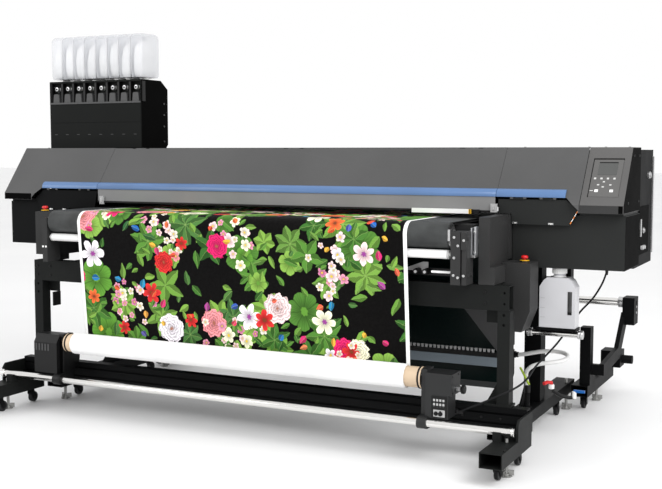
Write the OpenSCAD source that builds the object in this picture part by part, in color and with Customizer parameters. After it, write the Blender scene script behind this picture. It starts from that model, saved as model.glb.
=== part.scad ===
/* [Overall] */
// Width over the two end covers
body_w = 3200; // [3180:10:3260]
// Height of the casing's flat top
top_z = 1265; // [1262:1:1268]
// Front end of the take-up stand's feet, from the casing's top front edge
stand_front = -740; // [-760:5:-735]
// Rear end of the feed stand, from the same edge
stand_rear = 1225; // [1220:5:1240]

/* [Casing] */
// How far the sloped front leans forward
fold_y = -175; // [-178:1:-172]
// Height of the fold below the slope
fold_z = 1033; // [1031:1:1035]
// Bottom of the lip under the fold
lip_z = 1000; // [998:1:1002]
// Depth of the upper covers behind the top edge
hood_y = 164; // [160:1:164]
// Sheet thickness of the covers
wall = 3; // [2.5:0.5:3.5]
// Seam between the left end cover and the front cover
left_seam = -1011; // [-1020:1:-1005]
// Seam between the front cover and the right end cover
right_seam = 1071; // [1065:1:1080]
// Left side of the control panel's cover
panel_seam = 1424; // [1422:1:1428]
// Bottom of the rear casing's two legs
rear_bottom = 750; // [740:5:760]
// Back of the rear casing
rear_y = 560; // [540:5:580]

/* [Belt unit] */
// Left end of the belt and its rollers
belt_left = -1030; // [-1034:1:-1020]
// Right end of the belt and its rollers
belt_right = 985; // [975:1:990]
// Radius of the two belt rollers
roller_r = 50; // [49:0.5:50]
// Thickness of the belt
belt_t = 2.7; // [2:0.1:2.7]
// Height of the belt rollers' axes
roller_z = 914; // [912:1:916]
// Front roller's axis, from the casing's top front edge
roller_front = -450; // [-452:1:-448]
// Rear roller's axis
roller_rear = 420; // [400:5:430]

/* [Printed fabric and take-up] */
// Left edge of the fabric
fabric_left = -852; // [-856:1:-850]
// Right edge of the fabric
fabric_right = 814; // [810:1:816]
// Take-up roll's axis, from the casing's top front edge
roll_y = -505; // [-506:1:-504]
// Height of the take-up roll's axis
roll_z = 343; // [342:1:344]
// Radius of the wound roll
roll_r = 49; // [47:0.5:49]
// Outer radius of the paper core
core_r = 42; // [40:0.5:43]
// Radius of the take-up rail
rail_r = 16; // [15:0.5:16]

/* [Stands] */
// Underside of every foot beam
foot_z = 75; // [74:0.5:78]
// Radius of the caster wheels
wheel_r = 25; // [24:0.5:25]
// Radius of the levelling feet's pads
pad_r = 22; // [18:1:22]

/* [Hidden] */

$fn = 64;
eps = 0.5;
gap = 0.3;
half_w = body_w / 2;
shift_y = -(stand_front + stand_rear) / 2;

// Sloped front: its angle, and where its inner face runs
slope = (top_z - fold_z) / -fold_y;
slope_angle = atan(slope);
wall_drop = wall / cos(slope_angle);
function slope_y(z) = -(top_z - z) / slope;
function inner_z(y) = top_z - wall_drop + y * slope;
function inner_y(z) = (z - top_z + wall_drop) / slope;
function slope_len(z) = (top_z - z) / sin(slope_angle);

// Blue strip along the slope
strip_low_z = 1060;
strip_mid_z = 1076;
strip_r = 30;
strip_rise = 8.6;
strip_end = 1363;

// Hinges of the front cover and of the maintenance covers
hinge_y = 4;
hinge_z = 1261;
hinge_r = 3.2;
hinge_pin_r = 1.5;
hinge_bore_r = 1.55;
hinge_xs = [-850, 30, 910];
hinge_w = 60;
door_y = -147;
door_t = 4;
door_pin_y = -150;
door_gap = 4.5;
door_hinge_z = 1054;
door_hinge_r = 3.5;
door_hinge_w = 40;
door_low_z = 994;
seam = 2.5;

// Carriage, its beam and its travel
beam_front = 80;
beam_back = 160;
beam_low = 1050;
beam_high = 1150;
carriage_x = 1280;
carriage_w = 260;
carriage_low = 975;

// Rollers' shafts and their plates
shaft_r = 15;
run_fit = 0.05;
guide_y = -470;
guide_z = 840;
guide_r = 18;
guide_shaft_r = 8;
plate_right = [997, 1060];
plate_left = [-1075, -1042];
belt_inner_r = roller_r + gap;
belt_outer_r = belt_inner_r + belt_t;

// Fabric's sheet
fabric_t = 1.2;
fabric_gap = 0.4;
fabric_in_r = belt_outer_r + fabric_gap;
fabric_out_r = fabric_in_r + fabric_t;
fabric_back = 380;

// Take-up rail and units
rail_y = -560;
rail_z = 175;
spindle_r = 12;
core_left = -902;
core_right = 878;
roll_left = -870;
roll_right = 820;

// Casters: swivel axes in pairs, left and right of the stands
caster_trail = 14;
axle_z = wheel_r + 1.5;
axle_r = 4;
fork_t = 3;
wheel_w = 18;
stem_r = 5;
caster_xy = [
    [-1240, -628], [1240, -628], [-1250, -400], [1250, -400],
    [-1150, -170], [1150, -170], [-1172, 487], [1172, 487]];
level_xy = [[1255, -556], [1153, -256], [1181, 646], [1270, 900]];
level_r = 7;
feed_wheel_x = 1255;
feed_wheel_y = 700;

// Feed stand
feed_y = 1150;
feed_z = 470;
feed_r = 20;

// Emergency stops: centre of each button on the face it stands on
estop_r_at = [1208, -190, 795];
estop_l_at = [-1155, -375, 954];

// Cable from under the right casing to the right take-up unit, in the casing's frame
cable_r = 4;
cable_route = [
    [1490, 60, 758], [1489, 60, 742], [1470, 64, 690], [1430, 76, 625], [1376, 80, 563],
    [1340, 40, 500], [1310, -30, 442], [1286, -115, 402], [1266, -200, 369], [1268, -270, 355],
    [1270, -330, 344], [1262, -392, 330], [1234, -436, 311], [1181, -450, 284],
    [1127, -460, 256], [1075, -465, 232], [1048, -465, 218], [1026, -465, 210]];
cable_end = cable_route[len(cable_route) - 1];
cable_sides = 10;

// Drain hose from the wash unit to the waste tank's outlet, in the casing's frame
hose_r = 9;
hose_route = [
    [1085, 110, 350], [1105, 110.4, 350.6], [1135, 113, 356], [1168, 117, 364], [1204, 121, 371],
    [1240, 121, 375], [1274, 116, 376], [1304, 102, 375], [1326, 78, 371], [1333, 48, 366],
    [1324, 18, 360], [1301, -5, 355], [1268, -18, 350], [1232, -22, 343], [1200, -20, 330],
    [1176, -9, 310], [1164, 10, 288], [1160, 29, 266], [1160, 41, 242], [1160, 42, 216]];
hose_end = hose_route[len(hose_route) - 1];
hose_sides = 12;
hose_clear = 1;

// ---------- helpers ----------

// Moves drawings made from the casing's top front edge to the part's own frame
module placed() translate([0, shift_y, 0]) children();

// A box from its lowest to its highest corner
module span(low, high) translate(low) cube(high - low);

// A profile drawn in Y and Z, run from x0 to x1
module along_x(x0, x1) translate([x0, 0, 0]) rotate([90, 0, 90]) linear_extrude(x1 - x0) children();

// A profile drawn in X and Z, run from y0 to y1
module along_y(y0, y1) translate([0, y1, 0]) rotate([90, 0, 0]) linear_extrude(y1 - y0) children();

module rod_x(x0, x1, y, z, r) translate([x0, y, z]) rotate([0, 90, 0]) cylinder(h = x1 - x0, r = r);

module rod_y(y0, y1, x, z, r) translate([x, y1, z]) rotate([90, 0, 0]) cylinder(h = y1 - y0, r = r);

module rod_z(z0, z1, x, y, r) translate([x, y, z0]) cylinder(h = z1 - z0, r = r);

module both_sides() {
    children();
    mirror([1, 0, 0]) children();
}

// A rectangular tube along Y, open at its ends
module tube_y(x0, x1, y0, y1, z0, z1, t) {
    difference() {
        span([x0, y0, z0], [x1, y1, z1]);
        span([x0 + t, y0 - eps, z0 + t], [x1 - t, y1 + eps, z1 - t]);
    }
}

// A round tube swept along points, closed at both ends
function unit(v) = v / norm(v);
function heading(p, i) = unit(p[min(i + 1, len(p) - 1)] - p[max(i - 1, 0)]);
function side_of(d) = unit(cross(d, abs(d[2]) > 0.9 ? [0, 1, 0] : [0, 0, 1]));
module swept(p, r, sides) {
    rings = len(p);
    points = [for (i = [0:rings - 1]) let (d = heading(p, i), s = side_of(d), u = cross(s, d))
        for (k = [0:sides - 1]) p[i] + r * (cos(360 * k / sides) * s + sin(360 * k / sides) * u)];
    walls = [for (i = [0:rings - 2]) for (k = [0:sides - 1])
        let (n = (k + 1) % sides, a = i * sides, b = a + sides)
        each [[a + k, a + n, b + n], [a + k, b + n, b + k]]];
    ends = [[for (k = [sides - 1:-1:0]) k], [for (k = [0:sides - 1]) (rings - 1) * sides + k]];
    polyhedron(points, concat(walls, ends));
}

// ---------- casing ----------

module hood_outline() polygon([
    [0, top_z], [fold_y, fold_z], [fold_y, lip_z], [hood_y, lip_z], [hood_y, top_z]]);

module hood_inside() polygon([
    [(wall_drop - wall) / slope, top_z - wall], [fold_y + wall, inner_z(fold_y + wall)],
    [fold_y + wall, lip_z - eps], [hood_y + eps, lip_z - eps], [hood_y + eps, top_z - wall]]);

module hood_sheet() difference() {
    hood_outline();
    hood_inside();
}

module door_hinge_xs(x0, x1) for (x = [x0 + 60, x1 - 110]) translate([x, 0, 0]) children();

// Fixed half of a maintenance cover's hinge: two lugs with the pin between them
module door_lugs() {
    for (x = [-14, door_hinge_w + 2]) {
        rod_x(x, x + 12, door_pin_y, door_hinge_z, door_hinge_r);
        span([x, door_pin_y - 3, door_hinge_z], [x + 12, door_pin_y + 4, strip_low_z + 2]);
    }
    rod_x(-3, door_hinge_w + 3, door_pin_y, door_hinge_z, hinge_pin_r);
}

// Moving half of the same hinge
module door_knuckle() difference() {
    union() {
        rod_x(0, door_hinge_w, door_pin_y, door_hinge_z, door_hinge_r);
        span([0, door_pin_y, door_hinge_z - 7], [door_hinge_w, door_y + door_t, door_hinge_z]);
    }
    rod_x(-eps, door_hinge_w + eps, door_pin_y, door_hinge_z, hinge_bore_r);
}

module right_end_cover() placed() color([0.30, 0.30, 0.31]) {
    difference() {
        along_x(right_seam, panel_seam - 1) hood_sheet();
        along_y(fold_y - 5, -120) polygon([
            [right_seam - 5, lip_z - 5], [right_seam - 5, strip_low_z], [strip_end + door_gap, strip_low_z],
            [strip_end + 56, 1012], [strip_end + 56, lip_z - 5]]);
    }
    door_hinge_xs(1085, 1380) door_lugs();
}

module left_end_cover() placed() color([0.30, 0.30, 0.31]) {
    difference() {
        along_x(-half_w + wall, left_seam) hood_sheet();
        along_y(fold_y - 5, -120) polygon([
            [left_seam + 5, lip_z - 5], [left_seam + 5, strip_low_z], [-strip_end - door_gap, strip_low_z],
            [-strip_end - 56, 1012], [-strip_end - 56, lip_z - 5]]);
    }
    along_x(-half_w, -half_w + wall) hood_outline();
    door_hinge_xs(-1380, -1005) door_lugs();
}

module control_panel() placed() color([0.28, 0.28, 0.29]) {
    recess = [1449, 1574];
    recess_low = 1065;
    recess_high = 1220;
    recess_depth = 3;
    slab = 4;
    difference() {
        union() {
            along_x(panel_seam + 1, half_w - wall) hood_sheet();
            along_x(recess[0] - 4, recess[1] + 4) translate([0, top_z]) rotate(slope_angle)
                translate([-slope_len(recess_low) - 4, -wall - slab])
                square([slope_len(recess_low) - slope_len(recess_high) + 8, slab + 1]);
        }
        along_x(recess[0], recess[1]) translate([0, top_z]) rotate(slope_angle)
            translate([-slope_len(recess_low), -recess_depth])
            square([slope_len(recess_low) - slope_len(recess_high), 20]);
    }
    along_x(half_w - wall, half_w) hood_outline();
}

// Tray-shaped box under each end of the hood; its inner wall is lower where the carriage passes
lower_box_x = 1137;
module lower_box() {
    difference() {
        span([lower_box_x, -126, 768], [half_w, hood_y, 988]);
        span([lower_box_x + wall, -126 + wall, 768 + wall], [half_w - wall, hood_y - wall, 1000]);
        span([lower_box_x - 1, -110, 965], [lower_box_x + wall + 1, 120, 1000]);
    }
    // Rims that stand up into the hood and close the gap under it
    span([1416, -125, 980], [half_w - 8, -121, 1004]);
    span([half_w - 12, -125, 980], [half_w - 8, hood_y - 6, 1004]);
    span([half_w - 12, -124, 980], [half_w - 1, 120, 984]);
}

module right_lower_casing() placed() color([0.16, 0.16, 0.17]) {
    lower_box();
    // Gland of the take-up cable
    rod_z(cable_route[0][2], 769, cable_route[0][0], cable_route[0][1], cable_r * 2);
}

module left_lower_casing() placed() color([0.16, 0.16, 0.17]) mirror([1, 0, 0]) lower_box();

module rear_outline(inset) polygon([
    [-1580 + inset, rear_bottom + inset], [-1580 + inset, 1255 - inset], [1580 - inset, 1255 - inset],
    [1580 - inset, rear_bottom + inset], [1090 + inset, rear_bottom + inset], [1090 + inset, 1000 + inset],
    [-1090 - inset, 1000 + inset], [-1090 - inset, rear_bottom + inset]]);

module rear_casing() placed() color([0.15, 0.15, 0.16]) {
    difference() {
        along_y(hood_y + 1, rear_y) rear_outline(0);
        along_y(hood_y + 1 + wall, rear_y - wall) rear_outline(wall);
        for (x = [-1330, -700, 0, 700, 1330]) for (i = [0:7])
            span([x - 90, rear_y - wall - eps, 1090 + 14 * i], [x + 90, rear_y + eps, 1094 + 14 * i]);
        for (x = [-1330, 1330]) for (i = [0:9])
            span([x - 120, rear_y - wall - eps, 800 + 14 * i], [x + 120, rear_y + eps, 804 + 14 * i]);
    }
    // Top plate over the carriage, between the end covers
    span([left_seam + 1, hinge_y + 5.5, top_z - wall], [right_seam - 1, hood_y + 1, top_z]);
    span([left_seam + 1, hood_y - 2, 1240], [right_seam - 1, hood_y + 1, top_z]);
    for (x = hinge_xs) {
        for (dx = [-hinge_w / 2 - 22, hinge_w / 2 + 2]) {
            rod_x(x + dx, x + dx + 20, hinge_y, hinge_z, hinge_r);
            span([x + dx, hinge_y, hinge_z - hinge_r], [x + dx + 20, hinge_y + 8, hinge_z + 2]);
        }
        rod_x(x - hinge_w / 2 - 3, x + hinge_w / 2 + 3, hinge_y, hinge_z, hinge_pin_r);
    }
}

module front_cover() placed() color([0.30, 0.30, 0.31]) {
    x0 = left_seam + seam / 2;
    x1 = right_seam - seam / 2;
    low_y = slope_y(strip_low_z);
    difference() {
        along_x(x0, x1) polygon([
            [-1, top_z - slope], [low_y, strip_low_z], [low_y + 14, strip_low_z],
            [low_y + 14, strip_low_z + wall], [inner_y(strip_low_z + wall), strip_low_z + wall],
            [-1, inner_z(-1)]]);
        for (x = hinge_xs) for (dx = [-hinge_w / 2 - 23, hinge_w / 2 + 1])
            span([x + dx, -3, 1250], [x + dx + 22, 5, 1270]);
    }
    for (x = hinge_xs) difference() {
        union() {
            rod_x(x - hinge_w / 2, x + hinge_w / 2, hinge_y, hinge_z, hinge_r);
            span([x - hinge_w / 2, -2, hinge_z - 3], [x + hinge_w / 2, hinge_y, hinge_z + 1]);
        }
        rod_x(x - hinge_w, x + hinge_w, hinge_y, hinge_z, hinge_bore_r);
    }
    // Stiffening ribs behind the slope
    for (x = [x0 + 20, -500, 350, x1 - 23]) along_x(x, x + 3) polygon([
        [-20, inner_z(-20) + 1], [-140, inner_z(-140) + 1],
        [-140, inner_z(-140) - 8], [-20, inner_z(-20) - 12]]);
}

module front_window() placed() color([0.35, 0.35, 0.36, 0.6])
    span([left_seam + 4, -152, 1000], [right_seam - 4, -149, strip_low_z]);

module strip_outline() translate([slope_y(strip_mid_z), strip_mid_z]) rotate(slope_angle) intersection() {
    translate([0, strip_rise - strip_r]) circle(strip_r, $fn = 96);
    translate([-25, 0.05]) square([50, 12]);
}

module front_accent_strip() placed() color([0.28, 0.42, 0.66])
    along_x(left_seam + seam / 2, right_seam - seam / 2) strip_outline();

module maintenance_cover(outline, x0, x1) {
    along_y(door_y, door_y + door_t) polygon(outline);
    // Stiffening ribs on its inner side
    for (z = [door_low_z, door_hinge_z - 20])
        span([x0 + 20, door_y + door_t - 1, z], [x1 - 30, door_y + door_t + 8, z + 3]);
    door_hinge_xs(x0, x1) door_knuckle();
}

module right_maintenance_cover() placed() color([0.13, 0.13, 0.14])
    maintenance_cover([
        [1079, 1050], [1366, 1050], [1412, 1008], [1377, 946], [1136, 947], [1136, 990], [1079, 990]],
        1085, 1380);

module left_maintenance_cover() placed() color([0.13, 0.13, 0.14])
    maintenance_cover([
        [-1366, 1050], [-1016, 1050], [-1034, 960], [-1200, 960], [-1200, 948], [-1380, 950], [-1412, 1008]],
        -1380, -1005);

// ---------- carriage ----------

module carriage_beam() placed() color("silver") {
    difference() {
        span([-1560, beam_front, beam_low], [1560, beam_back, beam_high]);
        span([-1561, beam_front + 4, beam_low + 4], [1561, beam_back - 4, beam_high - 4]);
    }
    // Guide rail on the beam's front
    span([-1540, beam_front - 10, 1090], [1540, beam_front, 1106]);
    // Brackets to the rear casing's front wall
    for (x = [-1500, -750, 0, 750, 1500])
        span([x - 30, beam_back, 1080], [x + 30, hood_y + 1, 1120]);
}

module print_carriage() placed() color([0.22, 0.22, 0.24]) {
    x0 = carriage_x - carriage_w / 2;
    x1 = carriage_x + carriage_w / 2;
    difference() {
        along_x(x0, x1) polygon([
            [-80, carriage_low + 10], [-80, 1110], [-60, 1140], [55, 1140], [55, carriage_low + 10]]);
        along_x(x0 + 4, x1 - 4) polygon([
            [-76, carriage_low + 5], [-76, 1108], [-58, 1136], [51, 1136], [51, carriage_low + 5]]);
    }
    // Print heads in two staggered rows
    for (row = [0:1]) for (i = [0:3])
        span([x0 + 14 + 58 * i + 20 * row, -66 + 56 * row, carriage_low],
             [x0 + 56 + 58 * i + 20 * row, -20 + 56 * row, carriage_low + 60]);
    span([x0 + 4, -76, carriage_low + 50], [x1 - 4, 51, carriage_low + 54]);
    // Runner block on the guide rail
    difference() {
        span([x0 + 40, 55, 1070], [x1 - 40, beam_front - 1, 1126]);
        span([x0, beam_front - 10 - gap, 1090 - gap], [x1, beam_front, 1106 + gap]);
    }
}

module capping_station() placed() color([0.35, 0.35, 0.37]) {
    span([1180, -90, 771 + gap], [1370, 70, 900]);
    for (row = [0:1]) for (i = [0:3])
        translate([carriage_x - carriage_w / 2 + 14 + 58 * i + 20 * row, -68 + 56 * row, 900]) difference() {
            cube([44, 50, 70]);
            translate([3, 3, 55]) cube([38, 44, 16]);
        }
    span([1152, -90, 895], [1410, 70, 905]);
}

// ---------- ink ----------

ink_left = -1520;
ink_right = -918;
ink_top = 1620;
ink_pitch = 74.6;
ink_first = -1478;
pack_half = 36;
pack_top = 1857;

module ink_cabinet() placed() color([0.33, 0.33, 0.34]) {
    difference() {
        along_x(ink_left, ink_right) polygon([
            [100, top_z], [100, ink_top], [276, ink_top], [337, 1576], [337, top_z + 20], [320, top_z]]);
        // Stepped recess along the top of the front, with the pack locks
        span([ink_left + wall, 90, 1500], [ink_right - wall, 130, ink_top - 10]);
        along_x(ink_left + wall, ink_right - wall) polygon([
            [134, top_z + wall], [134, ink_top - wall], [275, ink_top - wall],
            [334, 1574], [334, top_z + 20]]);
        // Holes for the necks of the packs
        for (i = [0:7]) rod_z(ink_top - 10, ink_top + 1, ink_first + i * ink_pitch, 190, 14);
        span([ink_left + 60, 330, 1330], [ink_right - 60, 340, 1340]);
        span([ink_left + 60, 330, 1350], [ink_right - 60, 340, 1360]);
    }
    for (x = [ink_left + 20, ink_right - 60]) span([x, 200, 1255], [x + 40, 300, top_z]);
}

module ink_packs() placed() color([0.92, 0.92, 0.9, 0.8])
    for (i = [0:7]) translate([ink_first + i * ink_pitch, 190, 0]) {
        rod_z(ink_top - 40, ink_top + 6, 0, 0, 10);
        rod_z(ink_top + 0.1, ink_top + 12, 0, 0, 20);
        along_x(-pack_half, pack_half) polygon([
            [-73, ink_top + 11.5], [-78, ink_top + 30], [-78, pack_top - 22], [-64, pack_top],
            [64, pack_top], [78, pack_top - 22], [78, ink_top + 30], [73, ink_top + 11.5]]);
    }

// ---------- belt unit ----------

module belt_loop(r) {
    translate([roller_front, roller_z]) circle(r, $fn = 96);
    translate([roller_rear, roller_z]) circle(r, $fn = 96);
    translate([roller_front, roller_z - r]) square([roller_rear - roller_front, 2 * r]);
}

module conveyor_belt() placed() color([0.13, 0.14, 0.14])
    along_x(belt_left, belt_right) difference() {
        belt_loop(belt_outer_r);
        belt_loop(belt_inner_r);
    }

module belt_roller(y) difference() {
    union() {
        rod_x(belt_left + 1, belt_right - 1, y, roller_z, roller_r);
        rod_x(plate_left[0] + 6, plate_right[1] - 8, y, roller_z, shaft_r);
    }
    for (x = [belt_left + 0.5, belt_right - 20.5]) rod_x(x, x + 20, y, roller_z, roller_r - 6);
    rod_x(belt_left + 30, belt_right - 30, y, roller_z, roller_r - 6);
}

module roller_shaft(y) rod_x(plate_left[0] + 6, plate_right[1] - 8, y, roller_z, shaft_r);

module drive_roller() placed() color([0.5, 0.5, 0.52]) {
    belt_roller(roller_front);
    roller_shaft(roller_front);
}

module rear_roller() placed() color([0.5, 0.5, 0.52]) {
    belt_roller(roller_rear);
    roller_shaft(roller_rear);
}

module guide_roller() placed() color([0.9, 0.9, 0.9]) {
    rod_x(belt_left, belt_right, guide_y, guide_z, guide_r);
    rod_x(plate_left[0] + 8, plate_right[0] + 30, guide_y, guide_z, guide_shaft_r);
}

module roller_bores() {
    for (y = [roller_front, roller_rear])
        rod_x(plate_left[0] + 5, plate_right[1] - 7, y, roller_z, shaft_r + run_fit);
    rod_x(plate_left[0] + 7, plate_right[0] + 31, guide_y, guide_z, guide_shaft_r + run_fit);
}

module belt_frame() placed() color([0.17, 0.17, 0.18]) {
    difference() {
        union() {
            // Side rails and the front bearing plates
            span([plate_right[1] - 20, -495, 862], [plate_right[1], 485, 932]);
            span([plate_left[0], -495, 862], [plate_left[1], 485, 932]);
            span([plate_right[0], -495, 722], [plate_right[0] + 40, -405, 932]);
            span([plate_right[1] - 18, -490, 722], [plate_right[1], -405, 930]);
            span([plate_left[0] + 4, -495, 722], [plate_left[1], -405, 932]);
            span([plate_right[0], 375, 862], [plate_right[1], 465, 932]);
        }
        roller_bores();
    }
    // End housings in front of the casing, and the left emergency stop's ring
    span([1081, -400, 787], [1127, -152, 987]);
    span([1100, -160, 803], [1134, -104, 985]);
    span([1081, -400, 718], [1148, -255, 788]);
    difference() {
        union() {
            span([-1196, -400, 745], [plate_left[0] + 1, -152, 954]);
            span([-1130, -400, 718], [plate_left[0] + 1, -300, 746]);
            rod_z(953, 960, estop_l_at[0], estop_l_at[1], 17);
        }
        rod_z(930, 961, estop_l_at[0], estop_l_at[1], 6.5);
    }
    // Distance pieces between the right rail and its housing
    for (y = [-385, -290]) span([plate_right[1] - 1, y, 870], [1082, y + 25, 910]);
    // Platen under the belt's upper run and its cross members
    span([belt_left + 10, roller_front + 60, 952], [belt_right - 10, roller_rear - 60, 963]);
    for (y = [-340, -20, 300])
        span([plate_left[1] - 1, y, 880], [plate_right[1] - 19, y + 50, 953]);
    // Screws on the right bearing plate
    for (p = [[-470, 905], [-430, 905], [-470, 760], [-430, 760]])
        rod_x(plate_right[1], plate_right[1] + 5, p[0], p[1], 8);
}

module estop_button(at) {
    translate(at) {
        rod_z(9, 22, 0, 0, 15);
        rod_z(-20, 9, 0, 0, 6);
    }
}

module estop_left() placed() color("red") estop_button(estop_l_at + [0, 0, 6]);
module estop_right() placed() color("red") estop_button(estop_r_at + [0, 0, 6]);

module power_box() placed() color([0.20, 0.20, 0.21]) {
    difference() {
        along_y(-250, -131) polygon([
            [1128, 600], [1128, 795], [1250, 795], [1250, 600], [1216, 512], [1150, 512]]);
        along_y(-247, -134) polygon([
            [1131, 600], [1131, 792], [1247, 792], [1247, 600], [1214, 515], [1152, 515]]);
        rod_z(500, 520, 1180, -190, 12);
        rod_z(780, 800, estop_r_at[0], estop_r_at[1], 6.5);
    }
    difference() {
        rod_z(795, 801, estop_r_at[0], estop_r_at[1], 17);
        rod_z(794, 802, estop_r_at[0], estop_r_at[1], 6.5);
    }
}

// ---------- washing unit, waste tank ----------

module wash_unit() placed() color([0.10, 0.16, 0.15]) {
    difference() {
        span([-1000, -100, 390], [1075, 130, 840]);
        span([-996, -96, 394], [1071, 126, 841]);
    }
    span([-1000, -112, 330], [1075, -92, 371]);
    difference() {
        along_x(-1000, 1075) polygon([[-90, 370], [-90, 260], [-40, 222], [90, 222], [130, 260], [130, 370]]);
        along_x(-996, 1071) polygon([[-86, 371], [-86, 262], [-38, 226], [88, 226], [126, 262], [126, 371]]);
    }
    span([-1000, 20, 366], [1075, 40, 392]);
    // Outlet stub for the drain hose
    rod_x(1074, hose_route[0][0] - hose_clear, hose_route[0][1], hose_route[0][2], 12);
    // Brush pressed up to the belt's lower run
    for (x = [-960:160:960]) span([x, 0, 835], [x + 30, 40, 858]);
    span([-980, -6, 828], [995, 46, 838]);
    for (x = [-990, 985]) span([x, -100, 830], [x + 10, 130, 845]);
}

tank_at = [1325, -75];
module tank_outline(t) polygon([
    [1250 + t, 518 + t], [1250 + t, 688], [1268 + t, 716 - t], [1282, 727 - t],
    [1368, 727 - t], [1384 - t, 716 - t], [1400 - t, 688], [1400 - t, 518 + t]]);

module waste_tank() placed() color([0.9, 0.91, 0.92, 0.7]) {
    difference() {
        union() {
            along_y(-110, -40) tank_outline(0);
            rod_z(726, 742, tank_at[0], tank_at[1], 24);
        }
        difference() {
            along_y(-107, -43) tank_outline(wall);
            span([1366, -108, 572], [1390, -42, 674]);
        }
        // Grip right through the tank
        span([1369, -111, 575], [1387, -39, 671]);
        rod_z(715, 743, tank_at[0], tank_at[1], 20);
    }
    rod_z(742.2, 765, tank_at[0], tank_at[1], 29);
}

module drain_hose() placed() color([0.9, 0.9, 0.88]) swept(hose_route, hose_r, hose_sides);

// ---------- stands ----------

module foot_holes() both_sides() for (p = level_xy) rod_z(foot_z - 5, 180, p[0], p[1], level_r + gap);

module main_stand() placed() color([0.12, 0.12, 0.13]) {
    difference() {
        both_sides() {
            tube_y(1105, 1195, -340, 750, foot_z, 130, 4);
            span([1105, 740, foot_z], [1195, 744, 130]);
        }
        foot_holes();
    }
    both_sides() {
        span([1105, 180, 130], [1180, 255, 700]);
        span([1232, 290, 480], [1282, 340, rear_bottom]);
        span([1180, 300, 640], [1232, 340, 680]);
        span([1105, 255, 640], [1180, 340, 680]);
        span([1137, 180, 745], [1240, 255, rear_bottom]);
        span([1085, -338, 640], [1120, 200, 700]);
        along_x(1130, 1136) polygon([[255, 130], [255, 300], [425, 130]]);
        along_x(1130, 1136) polygon([[180, 130], [180, 300], [10, 130]]);
    }
    span([-1180, 180, 700], [1180, 255, 745]);
    // Shelf and cross bar under the waste tank
    span([1240, -112, 505], [1405, -38, 517.5]);
    span([1245, -40, 505], [1270, 291, 517.5]);
    for (x = [1250, 1384]) span([x, -63, 482], [x + 12, -47, 506]);
    rod_x(1190, 1420, -55, 486, 12);
    for (x = [1186, 1404]) rod_x(x, x + 18, -55, 486, 17);
    // Drain outlet standing on the right foot
    rod_z(129, hose_end[2] - hose_clear, hose_end[0], hose_end[1], 12);
    rod_z(129, 140, hose_end[0], hose_end[1], 20);
}

module belt_stand() placed() color([0.14, 0.14, 0.15]) {
    difference() {
        span([-1209, -400, 617], [1209, -340, 717]);
        span([-1210, -396, 621], [1210, -344, 713]);
        both_sides() for (z = [645, 689]) rod_y(-402, -390, 1190, z, 5);
    }
    both_sides() difference() {
        union() {
            span([1162, -398, 240], [1213, -342, 617]);
            span([1110, -400, 230.5], [1222, -340, 240]);
            along_y(-374, -366) polygon([[1162, 240], [1162, 330], [1112, 240]]);
        }
        for (z = [560, 600]) rod_y(-402, -390, 1188, z, 6);
    }
    both_sides() span([1100, -345, 560], [1162, -341, 617]);
}

module takeup_beam() placed() color([0.10, 0.10, 0.11]) difference() {
    span([-1287.5, -400, 135.3], [1287.5, -352, 230]);
    for (z = [162, 202]) {
        span([-1290, -401, z - 4], [1290, -396, z + 4]);
        span([-1290, -397, z - 9], [1290, -390, z + 9]);
    }
    for (x = [-1290, 661]) span([x, -388, 150], [x + 629, -356, 220]);
}

module takeup_stand() placed() color([0.11, 0.11, 0.12]) both_sides() difference() {
    union() {
        tube_y(1205, 1295, stand_front, -352, foot_z, 135, 4);
        span([1205, -356, foot_z], [1295, -352, 135]);
        // Cheek behind the rail, and the saddle that carries the rail's end
        along_x(1288, 1298) polygon([
            [-546, 134], [-546, 196], [-528, 217], [-362, 217], [-352, 207], [-352, 134]]);
        span([1206, rail_y - 22, 134], [1238, rail_y + 22, rail_z]);
    }
    rod_x(1205, 1239, rail_y, rail_z, rail_r + run_fit);
    for (p = level_xy) rod_z(foot_z - 5, 240, p[0], p[1], level_r + gap);
}

module takeup_rail() placed() color("silver") {
    rod_x(-1282, 1282, rail_y, rail_z, rail_r);
    both_sides() rod_x(1281, 1287, rail_y, rail_z, rail_r - 1);
}

module levelling_feet() placed() color([0.75, 0.75, 0.76]) both_sides() for (p = level_xy) {
    rod_z(0, 6, p[0], p[1], pad_r);
    rod_z(6, 14, p[0], p[1], 13);
    rod_z(14, 150, p[0], p[1], level_r);
    rod_z(62, foot_z - 0.2, p[0], p[1], 12);
    // Wings for turning the foot by hand
    for (a = [20, 140, 260]) translate([p[0], p[1], 6]) rotate(a) translate([8, -3, 0]) cube([22, 6, 20]);
}

module feed_stand() placed() color([0.12, 0.12, 0.13]) both_sides() {
    difference() {
        tube_y(1215, 1295, 600, 1180, foot_z, 130, 4);
        rod_z(70, 180, level_xy[3][0], level_xy[3][1], level_r + gap);
    }
    span([1250, 620, 130], [1300, 680, 410]);
    span([1300, 640, 180], [1340, 670, 230]);
    along_x(1340, 1362) polygon([
        [640, 180], [640, 235], [960, 262], [1120, 420], [1180, 420], [1180, 380], [1000, 205]]);
    difference() {
        span([1350, 1100, 360], [1410, 1200, 500]);
        rod_x(1340, 1420, feed_y, feed_z, feed_r * 0.6 + run_fit);
    }
    span([1240, 1120, 130], [1340, stand_rear, 215]);
    rod_x(1240, 1390, 1190, 165, 22);
    // Fixed caster bracket
    for (x = [feed_wheel_x - 15, feed_wheel_x + 12]) difference() {
        span([x, feed_wheel_y - 14, axle_z - 8], [x + fork_t, feed_wheel_y + 14, foot_z]);
        rod_x(x - 1, x + fork_t + 1, feed_wheel_y, axle_z, axle_r + run_fit);
    }
}

module feed_shaft() placed() color("silver") {
    rod_x(-1348, 1348, feed_y, feed_z, feed_r);
    rod_x(-1405, 1405, feed_y, feed_z, feed_r * 0.6);
}

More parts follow.
